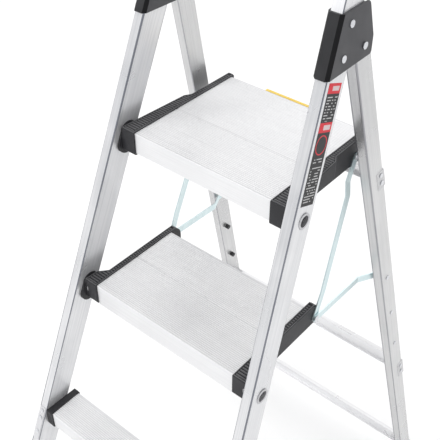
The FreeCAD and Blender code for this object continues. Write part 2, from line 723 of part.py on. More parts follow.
upper_half = end_rear_half["platform"]
lower_half = end_rear_half["middle"]
strap = size("strap_thick")
gap = size("rub_gap")
platform_end = deck_front + deck_depth["platform"] + size("end_rear_lap")
middle_end = lower_pin.y + size("middle_end_boss")
ends = (
    (
        "platform", platform_level, deck_front, (pivot_y, pivot_z),
        platform_end, upper_pin, upper_half, (16.0, 2.0),
    ),
    (
        "middle", middle_level, middle_front, (middle_pivot_y, middle_pivot_z),
        middle_end, lower_pin, lower_half, (14.0, 20.0),
    ),
)
pivot_tubes = []
spacers = []
link_pins = {"platform": [], "middle": []}
tread_ends = {}
for tread, level, front, pivot, end, pin, rear_half, rear_radii in ends:
    straps = 1 if tread == "platform" else 2
    for word, side in SIDES:
        rail = rails[word]
        name = f"{tread}_end_{word}"
        body, face = tread_end(name, side, tread, level, front, pivot, end, rear_half, rear_radii)
        tread_ends[name] = body
        # Tubular pivot rivet with a rolled ring outside the rail and one inside the bracket.
        outside = side * rail.x_at(0.0, pivot[0], pivot[1])
        inside = face - size("end_wall")
        tube_outer = size("pivot_tube_radius")
        ring = tube_outer + size("pivot_flare")
        label = f"pivot_tube_{tread}_{word}"
        near, length = across(side, inside - 1.6, outside + 1.4)
        barrel = cylinder(label + "_barrel", "Sizes.pivot_tube_radius", length, place(near, *pivot, ALONG_X))
        low, thick = across(side, outside - 0.2, outside + 1.4)
        outer_ring = cylinder(label + "_ring", ring, thick, place(low, *pivot, ALONG_X))
        low, thick = across(side, inside - 2.2, inside - 1.0)
        clinch = tube_outer + size("clinch")
        inner_ring = cylinder(label + "_clinch", clinch, thick, place(low, *pivot, ALONG_X))
        low, thick = across(side, inside - 2.8, inside)
        relief = cylinder(label + "_relief", clinch + size("rub_gap"), thick, place(low, *pivot, ALONG_X))
        drill(name, relief)
        bore_radius = "Sizes.pivot_tube_radius - Sizes.pivot_tube_wall"
        bore = cylinder(label + "_bore", bore_radius, 80.0, place(side * outside - 40, *pivot, ALONG_X))
        deeper = place(side * inside - 40, *pivot, ALONG_X)
        long_bore = cylinder(label + "_long_bore", bore_radius, 80.0, deeper)
        whole = fuse(label + "_whole", [barrel, outer_ring, inner_ring])
        hollow_tube = cut(label + "_hollow", whole, [bore, long_bore])
        pivot_tubes.append(hollow_tube)
        near, length = across(side, inside - 20.0, outside + 20.0)
        tight = tube_outer + size("set_clearance")
        fixed_hole = cylinder(label + "_fixed_hole", tight, length, place(near, *pivot, ALONG_X))
        drill(f"front_rail_{word}", fixed_hole)
        near, length = across(side, inside - 10.0, face + 10.0)
        loose = tube_outer + size("fit_clearance")
        free_hole = cylinder(label + "_free_hole", loose, length, place(near, *pivot, ALONG_X))
        drill(name, free_hole)
        # The ring stands on a small flat milled into the splayed face.
        low, thick = across(side, outside - 0.2, outside + 12.0)
        flat = cylinder(label + "_flat", ring + 0.3, thick, place(low, *pivot, ALONG_X))
        drill(f"front_rail_{word}", flat)
        # Spacer between the rail and the bracket, long way along the rail.
        label = f"pivot_spacer_{tread}_{word}"
        start, length = across(side, face + 1.2, face + 20.0)
        rise = size("spacer_half_length")
        tilt = Rotation(Vector(1, 0, 0), -size("front_lean"))
        lobes = []
        for i, sign in enumerate((-1, 1)):
            y = pivot[0] + sign * rise * math.sin(lean)
            z = pivot[1] + sign * rise * math.cos(lean) - 4.0
            centre = place(start, y, z, ALONG_X)
            lobes.append(cylinder(f"{label}_lobe{i}", "Sizes.spacer_radius", length, centre))
        turned = Rotation(Vector(1, 0, 0), -size("front_lean"))
        below = turned.multVec(Vector(0, -size("spacer_radius"), -rise))
        corner = Vector(start, pivot[0], pivot[1] - 4.0) + below
        web = box(f"{label}_web", length, "2 * Sizes.spacer_radius", 2 * rise, Placement(corner, turned))
        pad = fuse(label + "_pad", lobes + [web])
        thick = size("rail_thick")
        beyond = box(
            label + "_beyond", 60.0, 300.0, 300.0,
            rail.corner(thick - 60.0, thick, -100.0, rail.up_at(pivot[1]) - 150.0),
        )
        hole = cylinder(label + "_hole", tight, 80.0, place(side * face - 40, *pivot, ALONG_X))
        spacers.append(cut(label, pad, [beyond, hole]))
        # Rear pin through the bracket and the straps.
        label = f"link_pin_{tread}_{word}"
        outermost = rear_half + gap + straps * (strap + gap)
        wall_inside = rear_half - size("end_wall")
        head = size("link_pin_head")
        near, length = across(side, wall_inside - head / 2, outermost + head / 2)
        shank = x_pin(label + "_shank", size("link_pin_radius"), near, near + length, pin.y, pin.z)
        low, thick = across(side, outermost, outermost + head)
        cap = cylinder(label + "_cap", "Sizes.link_pin_radius + 2", thick, place(low, pin.y, pin.z, ALONG_X))
        low, thick = across(side, wall_inside - head, wall_inside)
        inner_cap = cylinder(
            label + "_inner_cap", "Sizes.link_pin_radius + 2", thick, place(low, pin.y, pin.z, ALONG_X)
        )
        link_pins[tread].append(fuse(label, [shank, cap, inner_cap]))
        low, thick = across(side, wall_inside - 0.5, rear_half + 5.0)
        tight_pin = size("link_pin_radius") + size("set_clearance")
        hole = x_pin(label + "_hole", tight_pin, low, low + thick, pin.y, pin.z)
        drill(name, hole)

for name, body in tread_ends.items():
    node(name, body)
node("pivot_tubes", group("pivot_tubes", pivot_tubes))
node("pivot_spacers", group("pivot_spacers", spacers))
for tread, pins in link_pins.items():
    node(f"{tread}_link_pins", group(f"{tread}_link_pins", pins))


# ---- strap links -----------------------------------------------------------------------------

def link(name, side, low, high, stations):
    """Flat strap from low to high (Y, Z); stations are (distance from low, X of the inner face)."""
    run = high - low
    length = run.Length
    half = size("strap_width") / 2
    turn = math.atan2(run.y, run.z)
    thick = size("strap_thick")
    inner = [(stations[0][1], -half)] + [(x, u) for u, x in stations] + [(stations[-1][1], length + half)]
    side_view = inner + [(x + thick, u) for x, u in reversed(inner)]
    low_x = min(x for x, u in inner)
    high_x = max(x for x, u in inner)
    # Own X across the object, own Y along the strap, own Z square to both.
    along = Rotation(Vector(1, 0, 0), math.degrees(-turn)).multiply(Rotation(Vector(1, 0, 0), 90))
    flipped = [(side * x, y) for x, y in side_view]
    across_strap = along.multVec(Vector(0, 0, 1))
    origin = low - across_strap * half
    blank = prism(name + "_blank", flipped, "Sizes.strap_width", Placement(origin, along), {})
    spread = Rotation(Vector(1, 0, 0), math.degrees(-turn))
    bar_start, bar_length = across(side, low_x - 10.0, high_x + 15.0)
    corner = low + spread.multVec(Vector(0, -half, 0)) + Vector(bar_start, 0, 0)
    bar = box(name + "_bar", bar_length, "Sizes.strap_width", length, Placement(corner, spread))
    tips = []
    for i, tip in enumerate((low, high)):
        tip_at = place(bar_start, tip.y, tip.z, ALONG_X)
        tips.append(cylinder(f"{name}_tip{i}", "Sizes.strap_width / 2", bar_length, tip_at))
    shape = common(name + "_strap", [blank, fuse(name + "_stadium", [bar] + tips)])
    bores = []
    for i, tip in enumerate((low, high)):
        bores.append(
            cylinder(
                f"{name}_eye{i}", size("link_pin_radius") + size("fit_clearance"), bar_length,
                place(bar_start, tip.y, tip.z, ALONG_X),
            )
        )
    return shape, bores


strut_z = platform_level - size("strut_drop")
strut_up = legs["right"].up_at(strut_z, size("leg_depth") / 2)
strut_point = legs["right"].point(0.0, size("leg_depth") / 2, strut_up)
strut_end = Vector(0, strut_point.y, strut_z)
upper_taper = math.tan(splay)
for word, side in SIDES:
    # The upper link follows the tapered side of the platform's end bracket when folded.
    name = f"upper_link_{word}"
    length = (upper_pin - lower_pin).Length
    foot_x = lower_half + gap
    top_x = upper_half + gap
    beside = ends_inside["platform"] + gap
    past_pivot = length - size("link_reach")
    taper_start = past_pivot - (foot_x - beside) / upper_taper
    joggle = (length - size("joggle_end"), length - size("joggle_start"))
    joggle_x = beside - (joggle[0] - past_pivot) * upper_taper + gap
    stations = [(taper_start, foot_x), (joggle[0], joggle_x), (joggle[1], top_x)]
    shape, eyes = link(name, side, lower_pin, upper_pin, stations)
    node(name, cut(name + "_eyed", shape, eyes))
    name = f"lower_link_{word}"
    low_x = lower_half + gap + strap + gap
    leg_inner = side * legs[word].x_at(size("leg_thick"), strut_end.y, strut_end.z)
    high_x = leg_inner - size("stud_reach") - strap
    reach = (strut_end - lower_pin).Length
    stations = [(size("flare_start") * reach, low_x), (size("flare_end") * reach, high_x)]
    shape, eyes = link(name, side, lower_pin, strut_end, stations)
    node(name, cut(name + "_eyed", shape, eyes))
    label = f"lower_link_stud_{word}"
    near, length = across(side, high_x - 1.0, leg_inner - gap - 0.2)
    stud = x_pin(label + "_shank", size("link_pin_radius"), near, near + length, strut_end.y, strut_end.z)
    low, thick = across(side, high_x - 2.0, high_x)
    cap = x_pin(label + "_cap", size("link_pin_radius") + 2.5, low, low + thick, strut_end.y, strut_end.z)
    node(label, fuse(label + "_headed", [stud, cap]))


# ---- narrow fixed treads ---------------------------------------------------------------------

gusset_rivets = []
gussets = {}
for number, word_number in ((1, "first"), (2, "second")):
    level = number * size("riser")
    front = rail_front(level) + shift + size("fixed_back")
    depth = size("fixed_depth")
    skin = size("plank_skin")
    inner_face = rails["right"].x_at(size("rail_thick"), front + depth / 2, level)
    half = inner_face - size("fixed_cap")
    lip = size("fixed_lip")
    section = [
        (front, level),
        (front + depth, level),
        (front + depth, level - lip),
        (front + depth - 3 * skin, level - lip),
        (front + depth - 3 * skin, level - lip + skin),
        (front + depth - skin, level - lip + skin),
        (front + depth - skin, level - skin),
        (front + skin, level - skin),
        (front + skin, level - lip + skin),
        (front + 3 * skin, level - lip + skin),
        (front + 3 * skin, level - lip),
        (front, level - lip),
    ]
    name = f"{word_number}_tread"
    node(name, prism(name + "_channel", section, 2 * half, place(-half, 0, 0, SIDEWAYS), {0: 1.2, 11: 1.2}))
    for word, side in SIDES:
        rail = rails[word]
        name = f"{word_number}_tread_cap_{word}"
        cap_profile = [
            (front - 2.5, level - lip - 2.5),
            (front + depth + 2.5, level - lip - 2.5),
            (front + depth + 2.5, level + 2.0),
            (front - 2.5, level + 2.0),
        ]
        near, length = across(side, half, half + 40.0)
        cap_radii = {0: 3.0, 1: 3.0, 2: 2.0, 3: 2.0}
        block = prism(name + "_block", cap_profile, length, place(near, 0, 0, SIDEWAYS), cap_radii)
        plug_profile = [
            (front + skin + 0.2, level - lip + skin + 0.4),
            (front + depth - skin - 0.2, level - lip + skin + 0.4),
            (front + depth - skin - 0.2, level - skin - 0.2),
            (front + skin + 0.2, level - skin - 0.2),
        ]
        near, length = across(side, half - 18.0, half + 1.0)
        plug = prism(name + "_plug", plug_profile, length, place(near, 0, 0, SIDEWAYS), {})
        low = rail.up_at(level) - 200.0
        beyond = box(
            name + "_beyond", 90.0, 400.0, 400.0,
            rail.corner(size("rail_thick") - 90.0, size("rail_thick"), -150.0, low),
        )
        shaped = cut(name + "_trimmed", fuse(name + "_whole", [block, plug]), [beyond])
        node(name, shaped)
        # Plate on the rail's front face, riveted.
        name = f"{word_number}_gusset_{word}"
        top_up = rail.up_at(level + 4.0)
        inset = (size("rail_thick") - size("gusset_width")) / 2
        low_up = top_up - size("gusset_height")
        plate = box(
            name + "_plate", "Sizes.gusset_width", "Sizes.gusset_thick", "Sizes.gusset_height",
            rail.corner(inset, inset + size("gusset_width"), -size("gusset_thick"), low_up),
        )
        gussets[name] = plate
        for i, drop in enumerate((9.0, 26.0, 60.0)):
            label = f"{name}_rivet{i}"
            up = top_up - drop
            thick = size("gusset_thick")
            middle = size("rail_thick") / 2
            cap = rail.stud(label + "_head", "Sizes.small_rivet_head", -thick - 1.4, -thick, middle, up)
            shank = rail.stud(label + "_shank", 2.2, -thick - 0.7, 5.0, middle, up)
            gusset_rivets.append(fuse(label, [cap, shank]))
            for target in (name, f"front_rail_{word}"):
                tight = 2.2 + size("set_clearance")
                hole = rail.stud(f"{label}_{target}_hole", tight, -thick - 1.0, 6.0, middle, up)
                drill(target, hole)
for name, plate in gussets.items():
    node(name, plate)
node("gusset_rivets", group("gusset_rivets", gusset_rivets))


# ---- rear braces: pressed strips behind the legs, their ends folded onto the outer faces ------

brace_rivets = []
brace_places = (
    ("top", top_brace_base, "top_brace_height"),
    ("middle", platform_level - size("middle_brace_drop") - size("brace_height"), "brace_height"),
    ("bottom", size("bottom_brace_rise"), "brace_height"),
)
for word_place, base, height in brace_places:
    name = f"{word_place}_brace"
    tall = size(height)
    thick = size("brace_thick")
    depth = size("leg_depth")
    leg = legs["right"]
    middle_z = base + tall / 2
    half = leg.x_at(0.0, leg.point(0.0, depth, leg.up_at(middle_z, depth)).y, middle_z)
    rear_y = leg.point(0.0, depth, leg.up_at(base, depth)).y
    slope = Rotation(Vector(1, 0, 0), size("rear_lean"))
    along = tall / math.cos(rear)
    web_at = Placement(Vector(-half, rear_y, base), slope)
    web = box(name + "_web", 2 * half, "Sizes.brace_thick", along, web_at)
    inside = half - size("leg_thick") - 14.0
    parts = [web]
    for i, up in enumerate((0.0, along - thick)):
        corner = Vector(-inside, rear_y, base) + slope.multVec(Vector(0, -size("brace_flange"), up))
        flange = Placement(corner, slope)
        parts.append(
            box(f"{name}_flange{i}", 2 * inside, "Sizes.brace_flange + 0.5", "Sizes.brace_thick", flange)
        )
    for word, side in SIDES:
        leg = legs[word]
        up = leg.up_at(base + 2.0, depth)
        tab = box(
            f"{name}_tab_{word}", "Sizes.brace_thick", "Sizes.brace_tab + Sizes.brace_thick", along - 4.0,
            leg.corner(-thick, 0.0, depth - size("brace_tab"), up),
        )
        tie = box(
            f"{name}_tie_{word}", "Sizes.brace_thick + 24", "Sizes.brace_thick", along - 4.0,
            leg.corner(-thick, 24.0, depth, up),
        )
        parts += [tab, tie]
        for i, share in enumerate((0.3, 0.72)):
            rivet = side_rivet(
                f"{name}_rivet_{word}{i}", leg, depth - 8.0, up + share * along, thick, thick + 5.0,
                "small_rivet_head", [name, f"rear_leg_{word}"],
            )
            brace_rivets.append(rivet)
    limits = []
    for word, side in SIDES:
        leg = legs[word]
        limits.append(
            box(
                f"{name}_limit_{word}", 120.0, 300.0, 600.0,
                leg.corner(-thick - 120.0, -thick, -100.0, leg.up_at(base) - 300.0),
            )
        )
    node(name, cut(name + "_trimmed", fuse(name + "_whole", parts), limits))
node("brace_rivets", group("brace_rivets", brace_rivets))


# ---- bumpers on the inner faces of the legs, and the rivets that hold them -------------------

bumpers = []
leg_rivets = []
for word, side in SIDES:
    leg = legs[word]
    back = size("leg_depth") / 2
    thick = size("leg_thick")
    for i in range(2):
        z = platform_level - size("bumper_first_drop") - i * size("bumper_spacing")
        up = leg.up_at(z, back)
        label = f"leg_bumper_{word}{i}"
        tip = thick + size("bumper_length")
        sleeve = leg.bolt(label + "_sleeve", "Sizes.bumper_radius", thick, tip, back, up)
        depth = tip - 2.0
        hole = leg.bolt(label + "_hole", 2.5 + size("set_clearance"), thick - 1.0, depth, back, up)
        bumpers.append(cut(label, sleeve, [hole]))
        label = f"leg_rivet_{word}{i}"
        head = leg.bolt(label + "_head", "Sizes.small_rivet_head", -1.6, 0.0, back, up)
        shank = leg.bolt(label + "_shank", 2.5, -0.8, thick + size("bumper_length") - 2.4, back, up)
        leg_rivets.append(fuse(label, [head, shank]))
        through = leg.bolt(label + "_hole", 2.5 + size("set_clearance"), -1.0, thick + 1.0, back, up)
        drill(f"rear_leg_{word}", through)
    label = f"strut_rivet_{word}"
    head = leg.bolt(label + "_head", "Sizes.rivet_head - 0.6", -1.6, 0.0, back, strut_up)
    shank = leg.bolt(label + "_shank", 3.0, -0.8, thick - 0.1, back, strut_up)
    leg_rivets.append(fuse(label, [head, shank]))
    through = leg.bolt(label + "_hole", 3.0 + size("set_clearance"), -1.0, thick + 1.0, back, strut_up)
    drill(f"rear_leg_{word}", through)
node("leg_bumpers", group("leg_bumpers", bumpers))
node("leg_rivets", group("leg_rivets", leg_rivets))


# ---- moulded top tray with a hand slot --------------------------------------------------------

tray_front = rail_front(tray_base) + shift - size("tray_ahead")
tray_half = rails["right"].x_at(0.0, tray_front + 30.0, tray_base) + size("tray_side")
tray_width = 2 * tray_half
tray_at = place(-tray_half, tray_front, tray_base)
body = box("tray_block", tray_width, "Sizes.tray_depth", "Sizes.tray_height", tray_at)
soft = doc.addObject("Part::Fillet", "tray_rounded")
soft.Base = body
doc.recompute()
upright = []
for index, edge in enumerate(body.Shape.Edges, 1):
    direction = edge.tangentAt(edge.FirstParameter)
    if abs(direction.z) > 0.9:
        upright.append((index, 16.0, 16.0))
soft.Edges = upright
grip_start = tray_front + size("grip_bar")
well_start = grip_start + size("grip_depth") + size("tray_wall")
well_depth = tray_front + size("tray_depth") - size("tray_wall") - well_start
well_at = place(-tray_half + size("tray_wall"), well_start, tray_top - size("tray_recess"))
well = box("tray_well", tray_width - 2 * size("tray_wall"), well_depth, "Sizes.tray_recess + 5", well_at)
slot = box(
    "tray_slot", "Sizes.grip_width", "Sizes.grip_depth", "Sizes.tray_height + 10",
    place(-size("grip_width") / 2, grip_start, tray_base - 5.0),
)
floor_thick = 5.0
under_half = tray_half - size("tray_wall") - size("rail_thick") - size("tray_side") - 8.0
under_front = box(
    "tray_under", 2 * under_half, well_depth,
    size("tray_height") - size("tray_recess") - floor_thick + 5.0,
    place(-under_half, well_start, tray_base - 5.0),
)
tools = [well, slot, under_front]
tray_rivets = []
for word, side in SIDES:
    rail = rails[word]
    pocket = envelope(f"tray_socket_{word}", rail, "rail_thick", "rail_depth", 0.0, rail_end - 400.0, 400.0)
    tools.append(pocket)
tray = cut("tray_cut", soft, tools)
for word, side in SIDES:
    rail = rails[word]
    up = rail.up_at(tray_base + 12.0, size("rail_depth") / 2)
    label = f"tray_rivet_{word}"
    outside = tray_half
    middle = rail.point(0.0, size("rail_depth") / 2, up)
    low, thick = across(side, outside, outside + 1.6)
    head = cylinder(label + "_head", "Sizes.rivet_head", thick, place(low, middle.y, middle.z, ALONG_X))
    inner_x = abs(middle.x) - 5.0
    low, thick = across(side, inner_x, outside + 0.8)
    shank = cylinder(label + "_shank", 2.5, thick, place(low, middle.y, middle.z, ALONG_X))
    tray_rivets.append(fuse(label, [head, shank]))
    low, thick = across(side, inner_x - 1.0, outside + 3.0)
    for target in ("top_tray", f"front_rail_{word}"):
        tight = 2.5 + size("set_clearance")
        hole = x_pin(f"{label}_{target}_hole", tight, low, low + thick, middle.y, middle.z)
        drill(target, hole)
node("top_tray", tray)
node("tray_rivets", group("tray_rivets", tray_rivets))


# ---- release latch under the platform's rear edge ---------------------------------------------

lug_inset = size("latch_width") / 2 - 18.0
lugs = []
lug_top = platform_level - size("plank_skin")
for word, side in SIDES:
    near, length = across(side, lug_inset - 2.0, lug_inset + 2.0)
    profile = [
        (latch_y - 9.0, lug_top),
        (latch_y - 9.0, lug_top - 6.0),
        (latch_y - 5.0, latch_z - 5.0),
        (latch_y + 5.0, latch_z - 5.0),
        (latch_y + 6.5, lug_top),
    ]
    lug = prism(f"latch_lug_{word}_plate", profile, length, place(near, 0, 0, SIDEWAYS), {2: 3.0, 3: 3.0})
    name = f"latch_lug_{word}"
    tight = size("latch_pin_radius") + size("set_clearance")
    hole = x_pin(name + "_hole", tight, near - 5, near + length + 5, latch_y, latch_z)
    node(name, cut(name + "_bored", lug, [hole]))
pin_half = lug_inset + 4.0
rod = x_pin("latch_pin_rod", "Sizes.latch_pin_radius", -pin_half, pin_half, latch_y, latch_z)
rod_caps = []
for word, side in SIDES:
    low, thick = across(side, pin_half - 0.5, pin_half + 1.0)
    cap_name = f"latch_pin_cap_{word}"
    rod_caps.append(x_pin(cap_name, size("latch_pin_radius") + 1.0, low, low + thick, latch_y, latch_z))
node("latch_pin", fuse("latch_pin_headed", [rod] + rod_caps))
barrel_half = lug_inset - 2.0 - 0.5
barrel = x_pin("latch_barrel", 4.0, -barrel_half, barrel_half, latch_y, latch_z)
deck_rear = deck_front + deck_depth["platform"]
tongue_profile = [
    (latch_y, latch_z - 1.5),
    (deck_rear + 14.0, latch_z - 1.5),
    (deck_rear + 14.0, platform_level - size("latch_grip_drop")),
    (deck_rear + 8.0, platform_level - size("latch_grip_drop")),
    (deck_rear + 8.0, latch_z + 1.5),
    (latch_y, latch_z + 1.5),
]
lever_half = size("latch_width") / 2
tongue = prism(
    "latch_tongue", tongue_profile, 2 * barrel_half, place(-barrel_half, 0, 0, SIDEWAYS),
    {1: 3.0, 2: 2.0, 3: 2.0, 4: 2.0},
)
grip_at = place(-lever_half, deck_rear + 8.0, platform_level - size("latch_grip_drop") - 9.0)
grip = box("latch_grip", "Sizes.latch_width", 6.0, 9.0, grip_at)
finger_profile = [
    (latch_y - 3.5, latch_z),
    (latch_y + 3.5, latch_z),
    (latch_y + 1.5, latch_z - size("latch_finger")),
    (latch_y - 2.0, latch_z - size("latch_finger")),
]
finger = prism("latch_finger", finger_profile, 40.0, place(-20.0, 0, 0, SIDEWAYS), {2: 1.0, 3: 1.0})
lever = fuse("latch_lever", [barrel, tongue, grip, finger])
loose = size("latch_pin_radius") + size("fit_clearance")
lever_bore = x_pin("latch_lever_bore", loose, -lever_half, lever_half, latch_y, latch_z)
spring_rooms = []
for word, side in SIDES:
    low, thick = across(side, 24.0, 24.0 + size("spring_length"))
    room = box(f"latch_room_{word}", thick, 12.0, 11.0, place(low, latch_y - 6.5, latch_z - 5.5))
    spring_rooms.append(room)
node("release_latch", cut("latch_lever_bored", lever, [lever_bore] + spring_rooms))
springs = []
for word, side in SIDES:
    low, thick = across(side, 24.6, 24.0 + size("spring_length") - 0.6)
    coil = cylinder(f"latch_spring_{word}_coil", 4.0, thick, place(low, latch_y, latch_z, ALONG_X))
    inner = cylinder(f"latch_spring_{word}_inner", 3.0, thick, place(low, latch_y, latch_z, ALONG_X))
    springs.append(cut(f"latch_spring_{word}", coil, [inner]))
node("latch_springs", group("latch_springs", springs))


# ---- label on the right rail's outer face, and the rails and legs last ------------------------

rail = rails["right"]
label_inset = (size("rail_depth") - size("label_width")) / 2 + 1.5
label_up = rail.up_at(platform_level + size("label_above"), size("rail_depth") / 2)
node("rail_label", box(
    "rail_label_film", 0.2, "Sizes.label_width", "Sizes.label_length",
    rail.corner(-0.2, 0.0, label_inset, label_up),
))
for name, made in list(rail_tubes.items()) + list(leg_tubes.items()):
    node(name, made)


# ---- checks and export -----------------------------------------------------------------------

doc.recompute()
faults = [o.Name for o in doc.Objects if "Invalid" in o.State or "Error" in o.State]
if faults:
    raise RuntimeError(f"failed objects: {faults}")
for made in nodes:
    shape = made.Shape
    if shape.isNull() or not shape.isValid() or not shape.Solids:
        raise RuntimeError(f"bad shape: {made.Label}")
os.makedirs("parts", exist_ok=True)
for made in nodes:
    made.Shape.exportStep(f"parts/{made.Label}.step")
print(len(nodes), "nodes")
print("hinge", round(hinge_y, 3), round(hinge_z, 3))
print("platform pivot", round(pivot_y, 3), round(pivot_z, 3))
print("middle pivot", round(middle_pivot_y, 3), round(middle_pivot_z, 3))
print("upper pin", round(upper_pin.y, 3), round(upper_pin.z, 3))
print("lower pin", round(lower_pin.y, 3), round(lower_pin.z, 3))
print("strut end", round(strut_end.y, 3), round(strut_end.z, 3))
print("latch", round(latch_y, 3), round(latch_z, 3))
print("deck front", round(deck_front, 3), "shift", round(shift, 3))
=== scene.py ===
import bpy
import bmesh
import json
import math
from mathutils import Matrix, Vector


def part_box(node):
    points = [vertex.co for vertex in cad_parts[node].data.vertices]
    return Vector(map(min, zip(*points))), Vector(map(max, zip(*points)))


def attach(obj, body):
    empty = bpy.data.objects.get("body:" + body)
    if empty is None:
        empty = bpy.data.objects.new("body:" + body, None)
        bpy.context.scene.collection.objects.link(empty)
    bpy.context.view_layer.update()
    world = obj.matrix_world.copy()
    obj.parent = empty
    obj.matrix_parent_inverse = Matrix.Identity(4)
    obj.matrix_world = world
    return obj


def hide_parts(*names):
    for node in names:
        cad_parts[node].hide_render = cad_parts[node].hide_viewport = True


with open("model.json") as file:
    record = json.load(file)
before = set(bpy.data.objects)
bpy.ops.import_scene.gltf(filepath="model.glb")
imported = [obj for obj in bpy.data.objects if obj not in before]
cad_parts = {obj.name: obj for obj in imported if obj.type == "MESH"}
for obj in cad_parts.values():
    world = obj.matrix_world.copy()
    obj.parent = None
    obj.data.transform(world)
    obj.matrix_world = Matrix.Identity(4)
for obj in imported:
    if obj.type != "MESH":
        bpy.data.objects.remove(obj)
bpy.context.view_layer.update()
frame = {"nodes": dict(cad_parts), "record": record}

# ---- Studio ----------------------------------------------------------------------------------
# A pale floor, an even pale room and three large soft lamps. The camera stands high on the
# right of the ladder's front and looks down on the hinged treads.

CAMERA_LENS = 63.0
CAMERA_FROM_DECK = Vector((0.6472, -0.7207, 0.6738))
CAMERA_DIP = 0.6792
CAMERA_TURN = 0.6984
FLOOR_REACH = 9
FLOOR_DROP = 0.0005
ROOM_STRENGTH = 1.12

platform_low, platform_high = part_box("platform_front_plank")
deck_edge = Vector((0, platform_low.y, platform_high.z))

camera = bpy.data.objects.new("camera", bpy.data.cameras.new("camera"))
camera.data.sensor_width = 36.0
camera.data.lens = CAMERA_LENS
camera.location = deck_edge + CAMERA_FROM_DECK
camera.rotation_euler = (math.pi / 2 - CAMERA_DIP, 0, CAMERA_TURN)
bpy.context.scene.collection.objects.link(camera)
bpy.context.scene.camera = camera

floor_mesh = bpy.data.meshes.new("floor")
floor_corners = [
    (FLOOR_REACH * x, FLOOR_REACH * y, 0) for x, y in ((-1, -1), (1, -1), (1, 1), (-1, 1))
]
floor_mesh.from_pydata(floor_corners, [], [(0, 1, 2, 3)])
floor = bpy.data.objects.new("floor", floor_mesh)
floor.location = (0, 0, -FLOOR_DROP)
bpy.context.scene.collection.objects.link(floor)
floor_paint = bpy.data.materials.new("floor_paint")
floor_paint.use_nodes = True
floor_shader = floor_paint.node_tree.nodes["Principled BSDF"]
floor_shader.inputs["Base Color"].default_value = (0.93, 0.93, 0.93, 1)
floor_shader.inputs["Roughness"].default_value = 0.9
floor_shader.inputs["Specular IOR Level"].default_value = 0.1
floor_mesh.materials.append(floor_paint)

room = bpy.data.worlds.new("room")
room.use_nodes = True
bpy.context.scene.world = room
room_nodes = room.node_tree.nodes
room_links = room.node_tree.links
background = room_nodes["Background"]
direction = room_nodes.new("ShaderNodeTexCoord")
height = room_nodes.new("ShaderNodeSeparateXYZ")
shade = room_nodes.new("ShaderNodeValToRGB")
room_links.new(direction.outputs["Generated"], height.inputs[0])
room_links.new(height.outputs["Z"], shade.inputs["Fac"])
shade.color_ramp.elements[0].position = 0.0
shade.color_ramp.elements[0].color = (0.62, 0.63, 0.65, 1)
shade.color_ramp.elements[1].position = 0.55
shade.color_ramp.elements[1].color = (1.0, 1.0, 1.0, 1)
room_links.new(shade.outputs["Color"], background.inputs["Color"])
background.inputs["Strength"].default_value = ROOM_STRENGTH

for name, place, aim, width, power in (
    ("lamp_front", (-1.6, -2.6, 3.4), (0, 0, 1.0), 2.2, 26.0),
    ("lamp_right", (2.8, 0.2, 2.6), (0, 0, 0.9), 1.8, 4.0),
    ("lamp_back", (-0.6, 2.8, 3.0), (0, 0.2, 0.9), 2.4, 9.0),
):
    lamp = bpy.data.objects.new(name, bpy.data.lights.new(name, "AREA"))
    lamp.data.shape = "SQUARE"
    lamp.data.size = width
    lamp.data.energy = power
    lamp.location = place
    lamp.rotation_euler = (Vector(aim) - Vector(place)).to_track_quat("-Z", "Y").to_euler()
    bpy.context.scene.collection.objects.link(lamp)
bpy.context.scene.view_settings.view_transform = "Standard"
bpy.context.scene.view_settings.exposure = 0.0


# ---- Front rails and rear legs ----------------------------------------------------------------
# Drawn rectangular aluminium tubes with soft corners. The die leaves fine lines along each tube
# and the anodised skin is satin, a little cloudy from handling.

def new_material(name):
    material = bpy.data.materials.new(name)
    material.use_nodes = True
    shader = material.node_tree.nodes["Principled BSDF"]
    return material, material.node_tree.nodes, material.node_tree.links, shader


def pattern_group(name, inputs, outputs):
    group = bpy.data.node_groups.new(name, "ShaderNodeTree")
    for label, kind, value in inputs:
        socket = group.interface.new_socket(label, in_out="INPUT", socket_type=kind)
        if value is not None:
            socket.default_value = value
    for label, kind in outputs:
        group.interface.new_socket(label, in_out="OUTPUT", socket_type=kind)
    entry = group.nodes.new("NodeGroupInput")
    finish = group.nodes.new("NodeGroupOutput")
    return group, group.nodes, group.links, entry, finish


SKIN_OUTPUTS = (
    ("Color", "NodeSocketColor"), ("Roughness", "NodeSocketFloat"), ("Normal", "NodeSocketVector"),
)
STREAK_SHRINK = 0.012
STREAK_DEPTH = 0.00006

# Drawn metal: streaks along the Z of the vector that comes in.
drawn, nodes, links, entry, finish = pattern_group(
    "drawn_metal",
    (
        ("Along", "NodeSocketVector", None),
        ("Light", "NodeSocketColor", (0.78, 0.78, 0.79, 1)),
        ("Dull", "NodeSocketColor", (0.64, 0.645, 0.66, 1)),
        ("Lines", "NodeSocketFloat", 420.0),
        ("Depth", "NodeSocketFloat", 0.1),
        ("Smooth", "NodeSocketFloat", 0.24),
        ("Rough", "NodeSocketFloat", 0.36),
    ),
    SKIN_OUTPUTS,
)
stretch = nodes.new("ShaderNodeVectorMath")
stretch.operation = "MULTIPLY"
stretch.inputs[1].default_value = (1.0, 1.0, STREAK_SHRINK)
links.new(entry.outputs["Along"], stretch.inputs[0])
streaks = nodes.new("ShaderNodeTexNoise")
streaks.inputs["Detail"].default_value = 4.0
links.new(stretch.outputs[0], streaks.inputs["Vector"])
links.new(entry.outputs["Lines"], streaks.inputs["Scale"])
clouds = nodes.new("ShaderNodeTexNoise")
clouds.inputs["Scale"].default_value = 9.0
clouds.inputs["Detail"].default_value = 3.0
links.new(entry.outputs["Along"], clouds.inputs["Vector"])
blend = nodes.new("ShaderNodeMath")
blend.operation = "MULTIPLY"
links.new(streaks.outputs["Fac"], blend.inputs[0])
links.new(clouds.outputs["Fac"], blend.inputs[1])
spread = nodes.new("ShaderNodeMapRange")
spread.inputs["From Min"].default_value = 0.12
